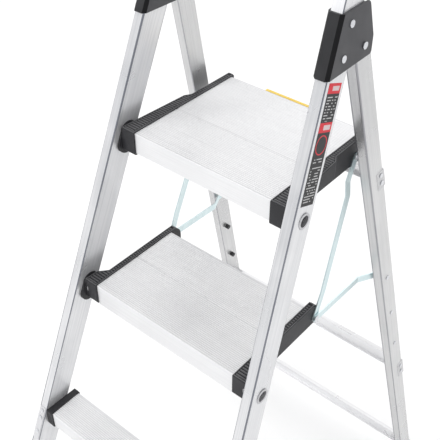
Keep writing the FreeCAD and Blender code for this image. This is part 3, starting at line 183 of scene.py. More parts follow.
spread.inputs["From Max"].default_value = 0.38
links.new(blend.outputs[0], spread.inputs["Value"])
tint = nodes.new("ShaderNodeMix")
tint.data_type = "RGBA"
links.new(spread.outputs["Result"], tint.inputs["Factor"])
links.new(entry.outputs["Dull"], tint.inputs["A"])
links.new(entry.outputs["Light"], tint.inputs["B"])
links.new(tint.outputs["Result"], finish.inputs["Color"])
rough = nodes.new("ShaderNodeMapRange")
links.new(clouds.outputs["Fac"], rough.inputs["Value"])
rough.inputs["From Min"].default_value = 0.3
rough.inputs["From Max"].default_value = 0.7
links.new(entry.outputs["Smooth"], rough.inputs["To Min"])
links.new(entry.outputs["Rough"], rough.inputs["To Max"])
links.new(rough.outputs["Result"], finish.inputs["Roughness"])
relief = nodes.new("ShaderNodeBump")
relief.inputs["Distance"].default_value = STREAK_DEPTH
links.new(entry.outputs["Depth"], relief.inputs["Strength"])
links.new(streaks.outputs["Fac"], relief.inputs["Height"])
links.new(relief.outputs["Normal"], finish.inputs["Normal"])


def metal(name, axis, metallic=1.0, **values):
    """Metal whose drawn lines run along axis, in the ladder's own directions."""
    material, nodes, links, shader = new_material(name)
    place = nodes.new("ShaderNodeTexCoord")
    turn = nodes.new("ShaderNodeMapping")
    upright = Vector(axis).rotation_difference(Vector((0, 0, 1)))
    turn.inputs["Rotation"].default_value = upright.to_euler()
    pattern = nodes.new("ShaderNodeGroup")
    pattern.node_tree = drawn
    for label, value in values.items():
        pattern.inputs[label].default_value = value
    links.new(place.outputs["Object"], turn.inputs["Vector"])
    links.new(turn.outputs["Vector"], pattern.inputs["Along"])
    links.new(pattern.outputs["Color"], shader.inputs["Base Color"])
    links.new(pattern.outputs["Roughness"], shader.inputs["Roughness"])
    links.new(pattern.outputs["Normal"], shader.inputs["Normal"])
    shader.inputs["Metallic"].default_value = metallic
    return material


def dress(node, material):
    """Gives every material slot of a CAD node one material."""
    mesh = frame["nodes"][node].data
    if not mesh.materials:
        mesh.materials.append(material)
    for index in range(len(mesh.materials)):
        mesh.materials[index] = material


SHARP = math.radians(38)
FLAT = math.radians(0.6)
WELD = 1e-6


def softened(node, body, material, width, segments=2, extra=(), pick=None, long_edges=0.0):
    """Stands for a CAD node with the same shape and rounded edges.

    pick gives the number of a face's material, from its normal, where the piece has extra ones.
    long_edges rounds only outer edges longer than that; these take the first extra material.
    """
    mesh = bpy.data.meshes.new(node + "_soft")
    work = bmesh.new()
    work.from_mesh(frame["nodes"][node].data)
    bmesh.ops.remove_doubles(work, verts=work.verts, dist=WELD)
    bmesh.ops.dissolve_limit(
        work, angle_limit=FLAT, verts=work.verts, edges=work.edges, delimit={"NORMAL"}
    )
    if long_edges:
        weight = work.edges.layers.float.new("bevel_weight_edge")
        for line in work.edges:
            outer = line.is_convex and line.calc_face_angle(0.0) > SHARP
            line[weight] = 1.0 if outer and line.calc_length() > long_edges else 0.0
    work.to_mesh(mesh)
    work.free()
    for face in mesh.polygons:
        face.use_smooth = False
    mesh.materials.clear()
    for skin in (material, *extra):
        mesh.materials.append(skin)
    if pick:
        for face in mesh.polygons:
            face.material_index = pick(face.normal)
    piece = bpy.data.objects.new(node + "_soft", mesh)
    bpy.context.scene.collection.objects.link(piece)
    edge = piece.modifiers.new("edges", "BEVEL")
    edge.width = width
    edge.segments = segments
    edge.limit_method = "ANGLE"
    edge.angle_limit = SHARP
    edge.harden_normals = False
    edge.use_clamp_overlap = not long_edges
    if long_edges:
        edge.limit_method = "WEIGHT"
        edge.material = 1
    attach(piece, body)
    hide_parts(node)


END_ZONE = 0.03


def long_axis(node):
    """Direction of a bar from its lowest end to its highest."""
    points = [v.co for v in frame["nodes"][node].data.vertices]
    low = min(p.z for p in points)
    high = max(p.z for p in points)
    foot = [p for p in points if p.z < low + END_ZONE]
    head = [p for p in points if p.z > high - END_ZONE]
    return (sum(head, Vector()) / len(head) - sum(foot, Vector()) / len(foot)).normalized()


RAIL_CORNER = 0.0032
LEG_CORNER = 0.0024
LONG_EDGE = 0.1
for side in ("left", "right"):
    for node, body in ((f"front_rail_{side}", "front_frame"), (f"rear_leg_{side}", "rear_frame")):
        if body == "front_frame":
            skin = metal(f"{node}_satin", long_axis(node), metallic=0.6)
            corner, light, dull = RAIL_CORNER, (0.26, 0.27, 0.30, 1), (0.18, 0.19, 0.22, 1)
        else:
            skin = metal(
                f"{node}_satin", long_axis(node), metallic=0.75,
                Light=(0.66, 0.66, 0.66, 1), Dull=(0.55, 0.55, 0.555, 1),
            )
            corner, light, dull = LEG_CORNER, (0.42, 0.42, 0.44, 1), (0.32, 0.32, 0.34, 1)
        # Painted shade: the rounded long edges take this darker copy of the satin, a thin dark
        # line that stands in for the dark room reflected in the corners.
        shade = metal(
            f"{node}_corner", long_axis(node), Light=light, Dull=dull, Smooth=0.3, Rough=0.42,
        )
        softened(
            node, body, skin, corner, 3, extra=(shade,), long_edges=LONG_EDGE,
        )


# ---- Hinged treads and narrow treads ----------------------------------------------------------
# Extruded aluminium planks. Fine grip ribs run from side to side over the whole top; the front
# lip is plain.

def mesh_from_nodes(name, tree, values, material, body):
    """Runs a geometry tree and keeps its result as a plain mesh."""
    holder = bpy.data.objects.new(name + "_holder", bpy.data.meshes.new(name + "_holder"))
    bpy.context.scene.collection.objects.link(holder)
    holder.data.materials.append(material)
    maker = holder.modifiers.new("maker", "NODES")
    maker.node_group = tree
    for item in tree.interface.items_tree:
        if item.item_type == "SOCKET" and item.in_out == "INPUT" and item.name in values:
            maker[item.identifier] = values[item.name]
    bpy.context.view_layer.update()
    ready = holder.evaluated_get(bpy.context.evaluated_depsgraph_get())
    mesh = bpy.data.meshes.new_from_object(ready)
    mesh.name = name
    bpy.data.objects.remove(holder)
    if not mesh.materials:
        mesh.materials.append(material)
    piece = bpy.data.objects.new(name, mesh)
    bpy.context.scene.collection.objects.link(piece)
    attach(piece, body)


def geometry_tree(name, inputs):
    tree = bpy.data.node_groups.new(name, "GeometryNodeTree")
    tree.interface.new_socket("Geometry", in_out="INPUT", socket_type="NodeSocketGeometry")
    for label, kind in inputs:
        tree.interface.new_socket(label, in_out="INPUT", socket_type=kind)
    tree.interface.new_socket("Geometry", in_out="OUTPUT", socket_type="NodeSocketGeometry")
    entry = tree.nodes.new("NodeGroupInput")
    finish = tree.nodes.new("NodeGroupOutput")
    return tree, tree.nodes, tree.links, entry, finish


# A row of ribs: each is a bar whose upper edge is narrower than its foot.
ribs, nodes, links, entry, finish = geometry_tree(
    "rib_row",
    (
        ("First", "NodeSocketVector"),
        ("Step", "NodeSocketVector"),
        ("Count", "NodeSocketInt"),
        ("Size", "NodeSocketVector"),
        ("Narrowing", "NodeSocketVector"),
        ("Skin", "NodeSocketMaterial"),
    ),
)
line = nodes.new("GeometryNodeMeshLine")
links.new(entry.outputs["Count"], line.inputs["Count"])
links.new(entry.outputs["First"], line.inputs["Start Location"])
links.new(entry.outputs["Step"], line.inputs["Offset"])
bar = nodes.new("GeometryNodeMeshCube")
links.new(entry.outputs["Size"], bar.inputs["Size"])
where = nodes.new("GeometryNodeInputPosition")
level = nodes.new("ShaderNodeSeparateXYZ")
links.new(where.outputs[0], level.inputs[0])
above = nodes.new("FunctionNodeCompare")
above.data_type = "FLOAT"
above.operation = "GREATER_THAN"
links.new(level.outputs["Z"], above.inputs[0])
pinch = nodes.new("ShaderNodeVectorMath")
pinch.operation = "MULTIPLY"
links.new(where.outputs[0], pinch.inputs[0])
links.new(entry.outputs["Narrowing"], pinch.inputs[1])
shape = nodes.new("GeometryNodeSetPosition")
links.new(bar.outputs["Mesh"], shape.inputs["Geometry"])
links.new(above.outputs[0], shape.inputs["Selection"])
links.new(pinch.outputs[0], shape.inputs["Position"])
copies = nodes.new("GeometryNodeInstanceOnPoints")
links.new(line.outputs["Mesh"], copies.inputs["Points"])
links.new(shape.outputs["Geometry"], copies.inputs["Instance"])
real = nodes.new("GeometryNodeRealizeInstances")
links.new(copies.outputs["Instances"], real.inputs[0])
coat = nodes.new("GeometryNodeSetMaterial")
links.new(real.outputs[0], coat.inputs["Geometry"])
links.new(entry.outputs["Skin"], coat.inputs["Material"])
links.new(coat.outputs[0], finish.inputs[0])


def rib_row(name, first, step, count, size, narrowing, material, body):
    values = {
        "First": first, "Step": step, "Count": count, "Size": size,
        "Narrowing": narrowing, "Skin": material,
    }
    mesh_from_nodes(name, ribs, values, material, body)


RIB_PITCH = 0.0037
RIB_WIDTH = 0.0024
RIB_HEIGHT = 0.0009
RIB_SINK = 0.0003
RIB_SHORTER = 0.0004
REAR_MARGIN = 0.0015
LIP_MARGIN = 0.003
SEAM_MARGIN = 0.0025
PLANK_ROUNDING = 0.0004
deck_skin = metal(
    "deck_skin", (1, 0, 0), metallic=0.4, Lines=700.0, Smooth=0.36, Rough=0.52,
    Light=(0.87, 0.87, 0.875, 1), Dull=(0.79, 0.79, 0.80, 1),
)
# Painted shade: the flat top between the ribs takes this darker skin, for the shade that falls in
# the grooves; the ribs, lip and sides keep the lighter deck skin.
groove_shade_skin = metal(
    "groove_shade_skin", (1, 0, 0), metallic=0.4, Lines=700.0, Smooth=0.45, Rough=0.6,
    Light=(0.76, 0.76, 0.77, 1), Dull=(0.68, 0.68, 0.69, 1),
)
for node, body, edge in (
    ("platform_front_plank", "platform", LIP_MARGIN),
    ("platform_rear_plank", "platform", SEAM_MARGIN),
    ("middle_front_plank", "middle_step", LIP_MARGIN),
    ("middle_rear_plank", "middle_step", SEAM_MARGIN),
    ("first_tread", "front_frame", LIP_MARGIN),
    ("second_tread", "front_frame", LIP_MARGIN),
):
    softened(
        node, body, deck_skin, PLANK_ROUNDING,
        extra=(groove_shade_skin,), pick=lambda normal: int(normal.z > 0.95),
    )
    low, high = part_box(node)
    count = int((high.y - low.y - edge - REAR_MARGIN) / RIB_PITCH)
    rib_row(
        node + "_ribs",
        (0, low.y + edge + RIB_PITCH / 2, high.z + RIB_HEIGHT / 2 - RIB_SINK),
        (0, RIB_PITCH, 0), count,
        (high.x - low.x - RIB_SHORTER, RIB_WIDTH, RIB_HEIGHT),
        (1.0, 0.55, 1.0), deck_skin, body,
    )


# ---- End brackets of the hinged treads --------------------------------------------------------
# Moulded glass-filled nylon, near black. Cross ribs between raised borders grip the shoe, and
# each side steps in behind the pivot so that it passes the rail when the ladder is folded.

grain, nodes, links, entry, finish = pattern_group(
    "moulded_grain",
    (
        ("Base", "NodeSocketColor", (0.03, 0.03, 0.033, 1)),
        ("Worn", "NodeSocketColor", (0.06, 0.06, 0.063, 1)),
        ("Grain", "NodeSocketFloat", 2600.0),
        ("Depth", "NodeSocketFloat", 0.35),
    ),
    SKIN_OUTPUTS,
)
place = nodes.new("ShaderNodeTexCoord")
speck = nodes.new("ShaderNodeTexNoise")
speck.inputs["Detail"].default_value = 2.0
links.new(place.outputs["Object"], speck.inputs["Vector"])
links.new(entry.outputs["Grain"], speck.inputs["Scale"])
patches = nodes.new("ShaderNodeTexNoise")
patches.inputs["Scale"].default_value = 22.0
patches.inputs["Detail"].default_value = 5.0
links.new(place.outputs["Object"], patches.inputs["Vector"])
faded = nodes.new("ShaderNodeMapRange")
faded.inputs["From Min"].default_value = 0.42
faded.inputs["From Max"].default_value = 0.72
links.new(patches.outputs["Fac"], faded.inputs["Value"])
tint = nodes.new("ShaderNodeMix")
tint.data_type = "RGBA"
links.new(faded.outputs["Result"], tint.inputs["Factor"])
links.new(entry.outputs["Base"], tint.inputs["A"])
links.new(entry.outputs["Worn"], tint.inputs["B"])
links.new(tint.outputs["Result"], finish.inputs["Color"])
matt = nodes.new("ShaderNodeMapRange")
matt.inputs["To Min"].default_value = 0.42
matt.inputs["To Max"].default_value = 0.62
links.new(speck.outputs["Fac"], matt.inputs["Value"])
links.new(matt.outputs["Result"], finish.inputs["Roughness"])
relief = nodes.new("ShaderNodeBump")
relief.inputs["Distance"].default_value = 0.00008
links.new(entry.outputs["Depth"], relief.inputs["Strength"])
links.new(speck.outputs["Fac"], relief.inputs["Height"])
links.new(relief.outputs["Normal"], finish.inputs["Normal"])


def moulded(name, coat=0.0, gloss=0.5, **values):
    material, nodes, links, shader = new_material(name)
    pattern = nodes.new("ShaderNodeGroup")
    pattern.node_tree = grain
    for label, value in values.items():
        pattern.inputs[label].default_value = value
    links.new(pattern.outputs["Color"], shader.inputs["Base Color"])
    links.new(pattern.outputs["Roughness"], shader.inputs["Roughness"])
    links.new(pattern.outputs["Normal"], shader.inputs["Normal"])
    shader.inputs["Specular IOR Level"].default_value = gloss
    shader.inputs["Coat Weight"].default_value = coat
    return material


nylon = moulded(
    "black_nylon", gloss=0.35, Base=(0.018, 0.018, 0.021, 1), Worn=(0.03, 0.03, 0.033, 1),
)
# Painted highlight: the raised borders and grip ribs take this lighter nylon, for the light that
# their edges catch.
ridge_highlight_nylon = moulded(
    "ridge_highlight_nylon", gloss=0.35, Base=(0.10, 0.10, 0.105, 1), Worn=(0.15, 0.15, 0.155, 1),
)

# Grip: cross ribs whose length follows the bracket's stepped side.
grip, nodes, links, entry, finish = geometry_tree(
    "grip_ribs",
    (
        ("First", "NodeSocketVector"),
        ("Pitch", "NodeSocketFloat"),
        ("Count", "NodeSocketInt"),
        ("Side", "NodeSocketFloat"),
        ("Inner", "NodeSocketFloat"),
        ("Outer", "NodeSocketFloat"),
        ("Taper", "NodeSocketFloat"),
        ("Jog From", "NodeSocketFloat"),
        ("Jog To", "NodeSocketFloat"),
        ("Rear", "NodeSocketFloat"),
        ("Rib Width", "NodeSocketFloat"),
        ("Rib Height", "NodeSocketFloat"),
        ("Skin", "NodeSocketMaterial"),
    ),
)


def number(operation, a, b=0.0):
    """A sum, product or comparison in the tree that is being built."""
    node = nodes.new("ShaderNodeMath")
    node.operation = operation
    for socket, value in ((node.inputs[0], a), (node.inputs[1], b)):
        if isinstance(value, (int, float)):
            socket.default_value = value
        else:
            links.new(value, socket)
    return node.outputs[0]


step = nodes.new("ShaderNodeCombineXYZ")
links.new(entry.outputs["Pitch"], step.inputs["Y"])
line = nodes.new("GeometryNodeMeshLine")
links.new(entry.outputs["Count"], line.inputs["Count"])
links.new(entry.outputs["First"], line.inputs["Start Location"])
links.new(step.outputs[0], line.inputs["Offset"])
where = nodes.new("GeometryNodeInputPosition")
parts = nodes.new("ShaderNodeSeparateXYZ")
links.new(where.outputs[0], parts.inputs[0])
start = nodes.new("ShaderNodeSeparateXYZ")
links.new(entry.outputs["First"], start.inputs[0])
behind = number("SUBTRACT", parts.outputs["Y"], start.outputs["Y"])
drawn_in = number("MULTIPLY", behind, entry.outputs["Taper"])
tapered = number("SUBTRACT", entry.outputs["Outer"], drawn_in)
share = nodes.new("ShaderNodeMapRange")
links.new(parts.outputs["Y"], share.inputs["Value"])
links.new(entry.outputs["Jog From"], share.inputs["From Min"])
links.new(entry.outputs["Jog To"], share.inputs["From Max"])
edge_x = nodes.new("ShaderNodeMix")
edge_x.data_type = "FLOAT"
links.new(share.outputs["Result"], edge_x.inputs["Factor"])
links.new(tapered, edge_x.inputs["A"])
links.new(entry.outputs["Rear"], edge_x.inputs["B"])
span = number("SUBTRACT", edge_x.outputs["Result"], entry.outputs["Inner"])
both = number("ADD", edge_x.outputs["Result"], entry.outputs["Inner"])
centre = number("MULTIPLY", number("MULTIPLY", both, 0.5), entry.outputs["Side"])
seat = nodes.new("ShaderNodeCombineXYZ")
links.new(centre, seat.inputs["X"])
links.new(parts.outputs["Y"], seat.inputs["Y"])
links.new(parts.outputs["Z"], seat.inputs["Z"])
moved = nodes.new("GeometryNodeSetPosition")
links.new(seat.outputs[0], moved.inputs["Position"])
bar = nodes.new("GeometryNodeMeshCube")
bar.inputs["Size"].default_value = (1, 1, 1)
where_bar = nodes.new("GeometryNodeInputPosition")
bar_parts = nodes.new("ShaderNodeSeparateXYZ")
links.new(where_bar.outputs[0], bar_parts.inputs[0])
above = nodes.new("FunctionNodeCompare")
above.data_type = "FLOAT"
above.operation = "GREATER_THAN"
links.new(bar_parts.outputs["Z"], above.inputs[0])
pinch = nodes.new("ShaderNodeVectorMath")
pinch.operation = "MULTIPLY"
pinch.inputs[1].default_value = (1, 0.6, 1)
links.new(where_bar.outputs[0], pinch.inputs[0])
shape = nodes.new("GeometryNodeSetPosition")
links.new(bar.outputs["Mesh"], shape.inputs["Geometry"])
links.new(above.outputs[0], shape.inputs["Selection"])
links.new(pinch.outputs[0], shape.inputs["Position"])
size = nodes.new("ShaderNodeCombineXYZ")
kept = nodes.new("GeometryNodeCaptureAttribute")
kept.capture_items.new("FLOAT", "span")
links.new(line.outputs["Mesh"], kept.inputs["Geometry"])
links.new(span, kept.inputs[1])
links.new(kept.outputs["Geometry"], moved.inputs["Geometry"])
links.new(kept.outputs[1], size.inputs["X"])
links.new(entry.outputs["Rib Width"], size.inputs["Y"])
links.new(entry.outputs["Rib Height"], size.inputs["Z"])
copies = nodes.new("GeometryNodeInstanceOnPoints")
links.new(moved.outputs["Geometry"], copies.inputs["Points"])
links.new(shape.outputs["Geometry"], copies.inputs["Instance"])
links.new(size.outputs[0], copies.inputs["Scale"])
real = nodes.new("GeometryNodeRealizeInstances")
links.new(copies.outputs["Instances"], real.inputs[0])
coat = nodes.new("GeometryNodeSetMaterial")
links.new(real.outputs[0], coat.inputs["Geometry"])
links.new(entry.outputs["Skin"], coat.inputs["Material"])
links.new(coat.outputs[0], finish.inputs[0])


MITRE_LIMIT = 0.3
CURB_ROUNDING = 0.0003


def curb(name, points, width, bottom, top, material, body):
    """A raised border along a closed run of (x, y) points, width measured inwards."""
    work = bmesh.new()
    count = len(points)
    area = sum(
        points[i][0] * points[(i + 1) % count][1] - points[(i + 1) % count][0] * points[i][1]
        for i in range(count)
    )
    run = points if area > 0 else list(reversed(points))
    inner = []
    for i in range(count):
        here = Vector(run[i])
        before = (here - Vector(run[i - 1])).normalized()
        after = (Vector(run[(i + 1) % count]) - here).normalized()
        normal = Vector((-before.y - after.y, before.x + after.x)).normalized()
        reach = width / max(MITRE_LIMIT, normal.dot(Vector((-before.y, before.x))))
        inner.append(here + normal * reach)
    rings = []
    for ring, z in ((run, bottom), (run, top), (inner, top), (inner, bottom)):
        rings.append([work.verts.new((p[0], p[1], z)) for p in ring])
    for level in range(4):
        a = rings[level]
        b = rings[(level + 1) % 4]
        for i in range(count):
            j = (i + 1) % count
            work.faces.new((a[i], a[j], b[j], b[i]))
    bmesh.ops.recalc_face_normals(work, faces=work.faces)
    mesh = bpy.data.meshes.new(name)
    work.to_mesh(mesh)
    work.free()
    mesh.materials.append(material)
    piece = bpy.data.objects.new(name, mesh)
    bpy.context.scene.collection.objects.link(piece)
    soft = piece.modifiers.new("edges", "BEVEL")
    soft.width = CURB_ROUNDING
    soft.segments = 2
    soft.limit_method = "ANGLE"
    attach(piece, body)


BORDER = 0.0013
BORDER_SINK = 0.0004
BORDER_HEIGHT = 0.0015
BORDER_FROM_END = 0.0015
BORDER_FROM_DECK = 0.0006
BORDER_FROM_SIDE = 0.0008
MIDDLE_REAR_GAP = 0.013
GRIP_PITCH = 0.0056
GRIP_WIDTH = 0.0031
GRIP_HEIGHT = 0.0022
GRIP_LIFT = 0.0003
GRIP_MARGIN = 0.003
RIB_INSET = 0.0016
SIDE_TAPER = 0.0625
BRACKET_ROUNDING = 0.0008
for tread, body, narrow, jog_from, jog_to, rear_gap in (
    ("platform", "platform", 0.0118, 0.140, 0.152, BORDER_FROM_END),
    ("middle", "middle_step", 0.0120, 0.024, 0.041, MIDDLE_REAR_GAP),
):
    plank_low, plank_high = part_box(f"{tread}_front_plank")
    front = plank_low.y
    inner = plank_high.x
    rear = inner + narrow
    for side, sign in (("left", -1), ("right", 1)):
        node = f"{tread}_end_{side}"
        softened(node, body, nylon, BRACKET_ROUNDING)
        low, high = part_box(node)
        outer = max(abs(low.x), abs(high.x))
        near = low.y + BORDER_FROM_END
        far = high.y - rear_gap
        beside_deck = inner + BORDER_FROM_DECK
        outer_edge = outer - BORDER_FROM_SIDE
        rear_edge = rear - BORDER_FROM_SIDE
        outline = [
            (sign * beside_deck, near),
            (sign * outer_edge, near),
            (sign * (outer_edge - SIDE_TAPER * (jog_from + front - near)), front + jog_from),
            (sign * rear_edge, front + jog_to),
            (sign * rear_edge, far),
            (sign * beside_deck, far),
        ]
        curb(
            node + "_border", outline, BORDER, high.z - BORDER_SINK, high.z + BORDER_HEIGHT,
            ridge_highlight_nylon, body,
        )
        first = near + BORDER + GRIP_MARGIN
        values = {
            "First": (0, first, high.z + GRIP_LIFT),
            "Pitch": GRIP_PITCH,
            "Count": int((far - BORDER - GRIP_MARGIN - first) / GRIP_PITCH) + 1,
            "Side": float(sign),
            "Inner": beside_deck + BORDER + RIB_INSET,
            "Outer": outer_edge - BORDER - RIB_INSET - SIDE_TAPER * (first - near),
            "Taper": SIDE_TAPER,
            "Jog From": front + jog_from,
            "Jog To": front + jog_to,
            "Rear": rear_edge - BORDER - RIB_INSET,
            "Rib Width": GRIP_WIDTH,
            "Rib Height": GRIP_HEIGHT,
            "Skin": ridge_highlight_nylon,
        }
        mesh_from_nodes(node + "_grip", grip, values, ridge_highlight_nylon, body)


# ---- Caps and plates of the narrow treads -----------------------------------------------------
# Moulded end caps close the narrow treads against the rails. A small aluminium plate is riveted
# to the front of each rail beside the tread.

RAIL_LEAN = (0, 0.36, 0.93)
plate_skin = metal(
    "plate_skin", RAIL_LEAN, metallic=0.6,
    Light=(0.74, 0.74, 0.75, 1), Dull=(0.62, 0.62, 0.64, 1),
)
for word in ("first", "second"):
    for side in ("left", "right"):
        softened(f"{word}_tread_cap_{side}", "front_frame", nylon, 0.0007)
        softened(f"{word}_gusset_{side}", "front_frame", plate_skin, 0.0006)


# ---- Hinge brackets ---------------------------------------------------------------------------
# Nylon saddles over the rails. Their ears hold the tops of the rear legs on headed pins. The
# slanted band down the front corner and the front face are painted shade: darker copies of the
# saddle nylon, picked by the way each face turns. The lever's lugs and the spacers on the pivots
# are the treads' own black nylon.

saddle_nylon = moulded(
    "saddle_nylon", Base=(0.042, 0.042, 0.047, 1), Worn=(0.062, 0.062, 0.067, 1),
)
# Painted shade: the two darker copies below go on the slanted corner band and on the front face.
band_painted_shade = moulded(
    "band_painted_shade", gloss=0.15, Base=(0.005, 0.005, 0.006, 1), Worn=(0.009, 0.009, 0.01, 1),
)
front_painted_shade = moulded(
    "front_painted_shade", gloss=0.3, Base=(0.018, 0.018, 0.02, 1), Worn=(0.028, 0.028, 0.031, 1),
)


def saddle_shade_pick(normal):
    """1 (deepest painted shade) on the slanted front corner, 2 (painted shade) on the front, 0 on
    every other face.
    """
    if 0.4 < abs(normal.x) < 0.9 and normal.y < -0.3:
        return 1
    return 2 if normal.y < -0.8 else 0


for side in ("left", "right"):
    softened(
        f"hinge_bracket_{side}", "front_frame", saddle_nylon, 0.0009, 3,
        extra=(band_painted_shade, front_painted_shade), pick=saddle_shade_pick,
    )
    dress(f"latch_lug_{side}", nylon)
dress("pivot_spacers", nylon)


# ---- Rivets, pins and pivot tubes -------------------------------------------------------------
# Bright zinc on steel: domed rivet heads, headed pins, and tubular pivots rolled over a ring on
# the rail's outer face.

zinc = metal(
    "bright_zinc", (1, 0, 0), Lines=400.0, Smooth=0.2, Rough=0.34,
    Light=(0.74, 0.75, 0.77, 1), Dull=(0.58, 0.59, 0.62, 1),
)
tube_zinc = metal(
    "tube_zinc", (1, 0, 0), metallic=0.8, Lines=400.0, Smooth=0.34, Rough=0.5,
    Light=(0.6, 0.6, 0.61, 1), Dull=(0.48, 0.48, 0.5, 1),
)
for node, body, width in (
    ("hinge_bracket_rivets", "front_frame", 0.0014),
    ("hinge_pins", "front_frame", 0.0012),
    ("gusset_rivets", "front_frame", 0.0011),
    ("tray_rivets", "front_frame", 0.0012),
    ("brace_rivets", "rear_frame", 0.0014),
    ("leg_rivets", "rear_frame", 0.0012),
    ("platform_link_pins", "platform", 0.0005),
    ("middle_link_pins", "middle_step", 0.0005),
    ("latch_pin", "platform", 0.0004),
    ("pivot_tubes", "front_frame", 0.0006),
):
    skin = tube_zinc if node == "pivot_tubes" else zinc
    softened(node, body, skin, width, 3)
for side in ("left", "right"):
    softened(f"lower_link_stud_{side}", f"lower_link_{side}", zinc, 0.0006)
spring_wire = metal(
    "spring_wire", (1, 0, 0), Lines=300.0, Smooth=0.25, Rough=0.4,
    Light=(0.5, 0.5, 0.52, 1), Dull=(0.36, 0.36, 0.38, 1),
)
dress("latch_springs", spring_wire)


# ---- Links ------------------------------------------------------------------------------------
# Steel straps under the treads, zinc plated with a pale blue passivation that clouds from place
# to place.

STRAP_ROUNDING = 0.0005
plated = metal(
    "blue_zinc", RAIL_LEAN, Lines=260.0, Smooth=0.28, Rough=0.46,
    Light=(0.74, 0.84, 0.85, 1), Dull=(0.62, 0.74, 0.76, 1),
)
for side in ("left", "right"):
    for link in (f"upper_link_{side}", f"lower_link_{side}"):
        softened(link, link, plated, STRAP_ROUNDING)


# ---- Rear braces ------------------------------------------------------------------------------
# Pressed aluminium strips with a flange along each edge. Their ends fold forward onto the legs
# and hold two rivets each.

brace_skin = metal(
    "brace_skin", (1, 0, 0), metallic=0.6, Lines=260.0, Depth=0.06,
    Light=(0.86, 0.86, 0.87, 1), Dull=(0.76, 0.76, 0.77, 1),
)
LEG_LEAN = (0, -0.26, 0.97)
# Painted shade: the end tabs, turned sideways onto the legs, take this darker copy of the brace
# metal.
tab_shade_skin = metal(
    "brace_tab_skin", LEG_LEAN, Lines=260.0, Depth=0.06,
    Light=(0.6, 0.6, 0.61, 1), Dull=(0.5, 0.5, 0.51, 1),
)
for node in ("top_brace", "middle_brace", "bottom_brace"):
    softened(
        node, "rear_frame", brace_skin, 0.0004,
        extra=(tab_shade_skin,), pick=lambda normal: int(abs(normal.x) > 0.8),
    )


# ---- Release lever ----------------------------------------------------------------------------
# Yellow moulded lever under the rear edge of the platform, sprung shut. Its curled grip has
# small ridges for the fingers.

RIDGE_PITCH = 0.007
RIDGE_COUNT = 17
RIDGE_SIZE = (0.0022, 0.0045, 0.0012)
RIDGE_START = 0.012
RIDGE_INSET = 0.0035
RIDGE_SINK = 0.0002
yellow = moulded(
    "yellow_nylon", coat=0.1, Base=(0.88, 0.62, 0.09, 1), Worn=(0.93, 0.70, 0.15, 1), Depth=0.2,
)
softened("release_latch", "release_latch", yellow, 0.0012, 3)
low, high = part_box("release_latch")
rib_row(
    "release_latch_ridges",
    (low.x + RIDGE_START, high.y - RIDGE_INSET, high.z - RIDGE_SINK),
    (RIDGE_PITCH, 0, 0), RIDGE_COUNT, RIDGE_SIZE, (0.5, 0.8, 1.0), yellow,
    "release_latch",
)


# ---- Label ------------------------------------------------------------------------------------
# A printed film on the outer face of the right rail: dark ground, two red fields, a ring and
# rows of pale bars, with no lettering.

HEAD_FIELD = 0.0145
LOWER_FIELD_FROM, LOWER_FIELD_TO = 0.0690, 0.0548
HEAD_BLOCK_FROM, HEAD_BLOCK_TO = 0.0105, 0.0040
LOWER_BLOCK_FROM, LOWER_BLOCK_TO = 0.0655, 0.0585
BLOCK_LEFT, BLOCK_RIGHT = 0.0115, 0.004
RING_DOWN, RING_INSIDE, RING_OUTSIDE = 0.0872, 0.0128, 0.0145
ROW_PITCH, BAR_PITCH = 0.0042, 0.0034
BAR_LOW, BAR_HIGH, BAR_SHARE = 0.34, 0.68, 0.38
MARGIN, SHORT_MARGIN = 0.003, 0.005
UPPER_ROWS_FROM, UPPER_ROWS_TO = 0.0530, 0.0165
SHORT_ROWS_FROM, SHORT_ROWS_TO = 0.062, 0.070
LOWER_ROWS_FROM, LOWER_ROWS_TO = 0.004, 0.060

label_axis = long_axis("front_rail_right")
points = [v.co for v in frame["nodes"]["rail_label"].data.vertices]
outward = Vector((1, 0, 0)) - label_axis * label_axis.x
outward.normalize()
label_back = label_axis.cross(outward) * -1.0
if label_back.y < 0:
    label_back = -label_back
ink, nodes, links, shader = new_material("label_print")
place = nodes.new("ShaderNodeTexCoord")
up_axis = nodes.new("ShaderNodeVectorMath")
up_axis.operation = "DOT_PRODUCT"
up_axis.inputs[1].default_value = label_axis
back_axis = nodes.new("ShaderNodeVectorMath")
back_axis.operation = "DOT_PRODUCT"
back_axis.inputs[1].default_value = label_back
links.new(place.outputs["Object"], up_axis.inputs[0])
links.new(place.outputs["Object"], back_axis.inputs[0])
base_up = min(p.dot(label_axis) for p in points)
base_back = min(p.dot(label_back) for p in points)
label_tall = max(p.dot(label_axis) for p in points) - base_up
label_wide = max(p.dot(label_back) for p in points) - base_back
up = number("SUBTRACT", up_axis.outputs["Value"], base_up)
across = number("SUBTRACT", back_axis.outputs["Value"], base_back)


def between(value, low, high):
    return number("MULTIPLY", number("GREATER_THAN", value, low), number("LESS_THAN", value, high))


def field(low_up, high_up, low_across, high_across):
    return number(
        "MULTIPLY", between(up, low_up, high_up), between(across, low_across, high_across)
    )


def either(a, b):
    return number("MAXIMUM", a, b)


red = either(
    field(label_tall - HEAD_FIELD, label_tall, 0.0, label_wide),
    field(label_tall - LOWER_FIELD_FROM, label_tall - LOWER_FIELD_TO, 0.0, label_wide),
)
ring_up = number("SUBTRACT", up, label_tall - RING_DOWN)
ring_across = number("SUBTRACT", across, label_wide / 2)
ring_square = number(
    "ADD", number("MULTIPLY", ring_up, ring_up), number("MULTIPLY", ring_across, ring_across)
)
red = either(red, between(number("SQRT", ring_square), RING_INSIDE, RING_OUTSIDE))
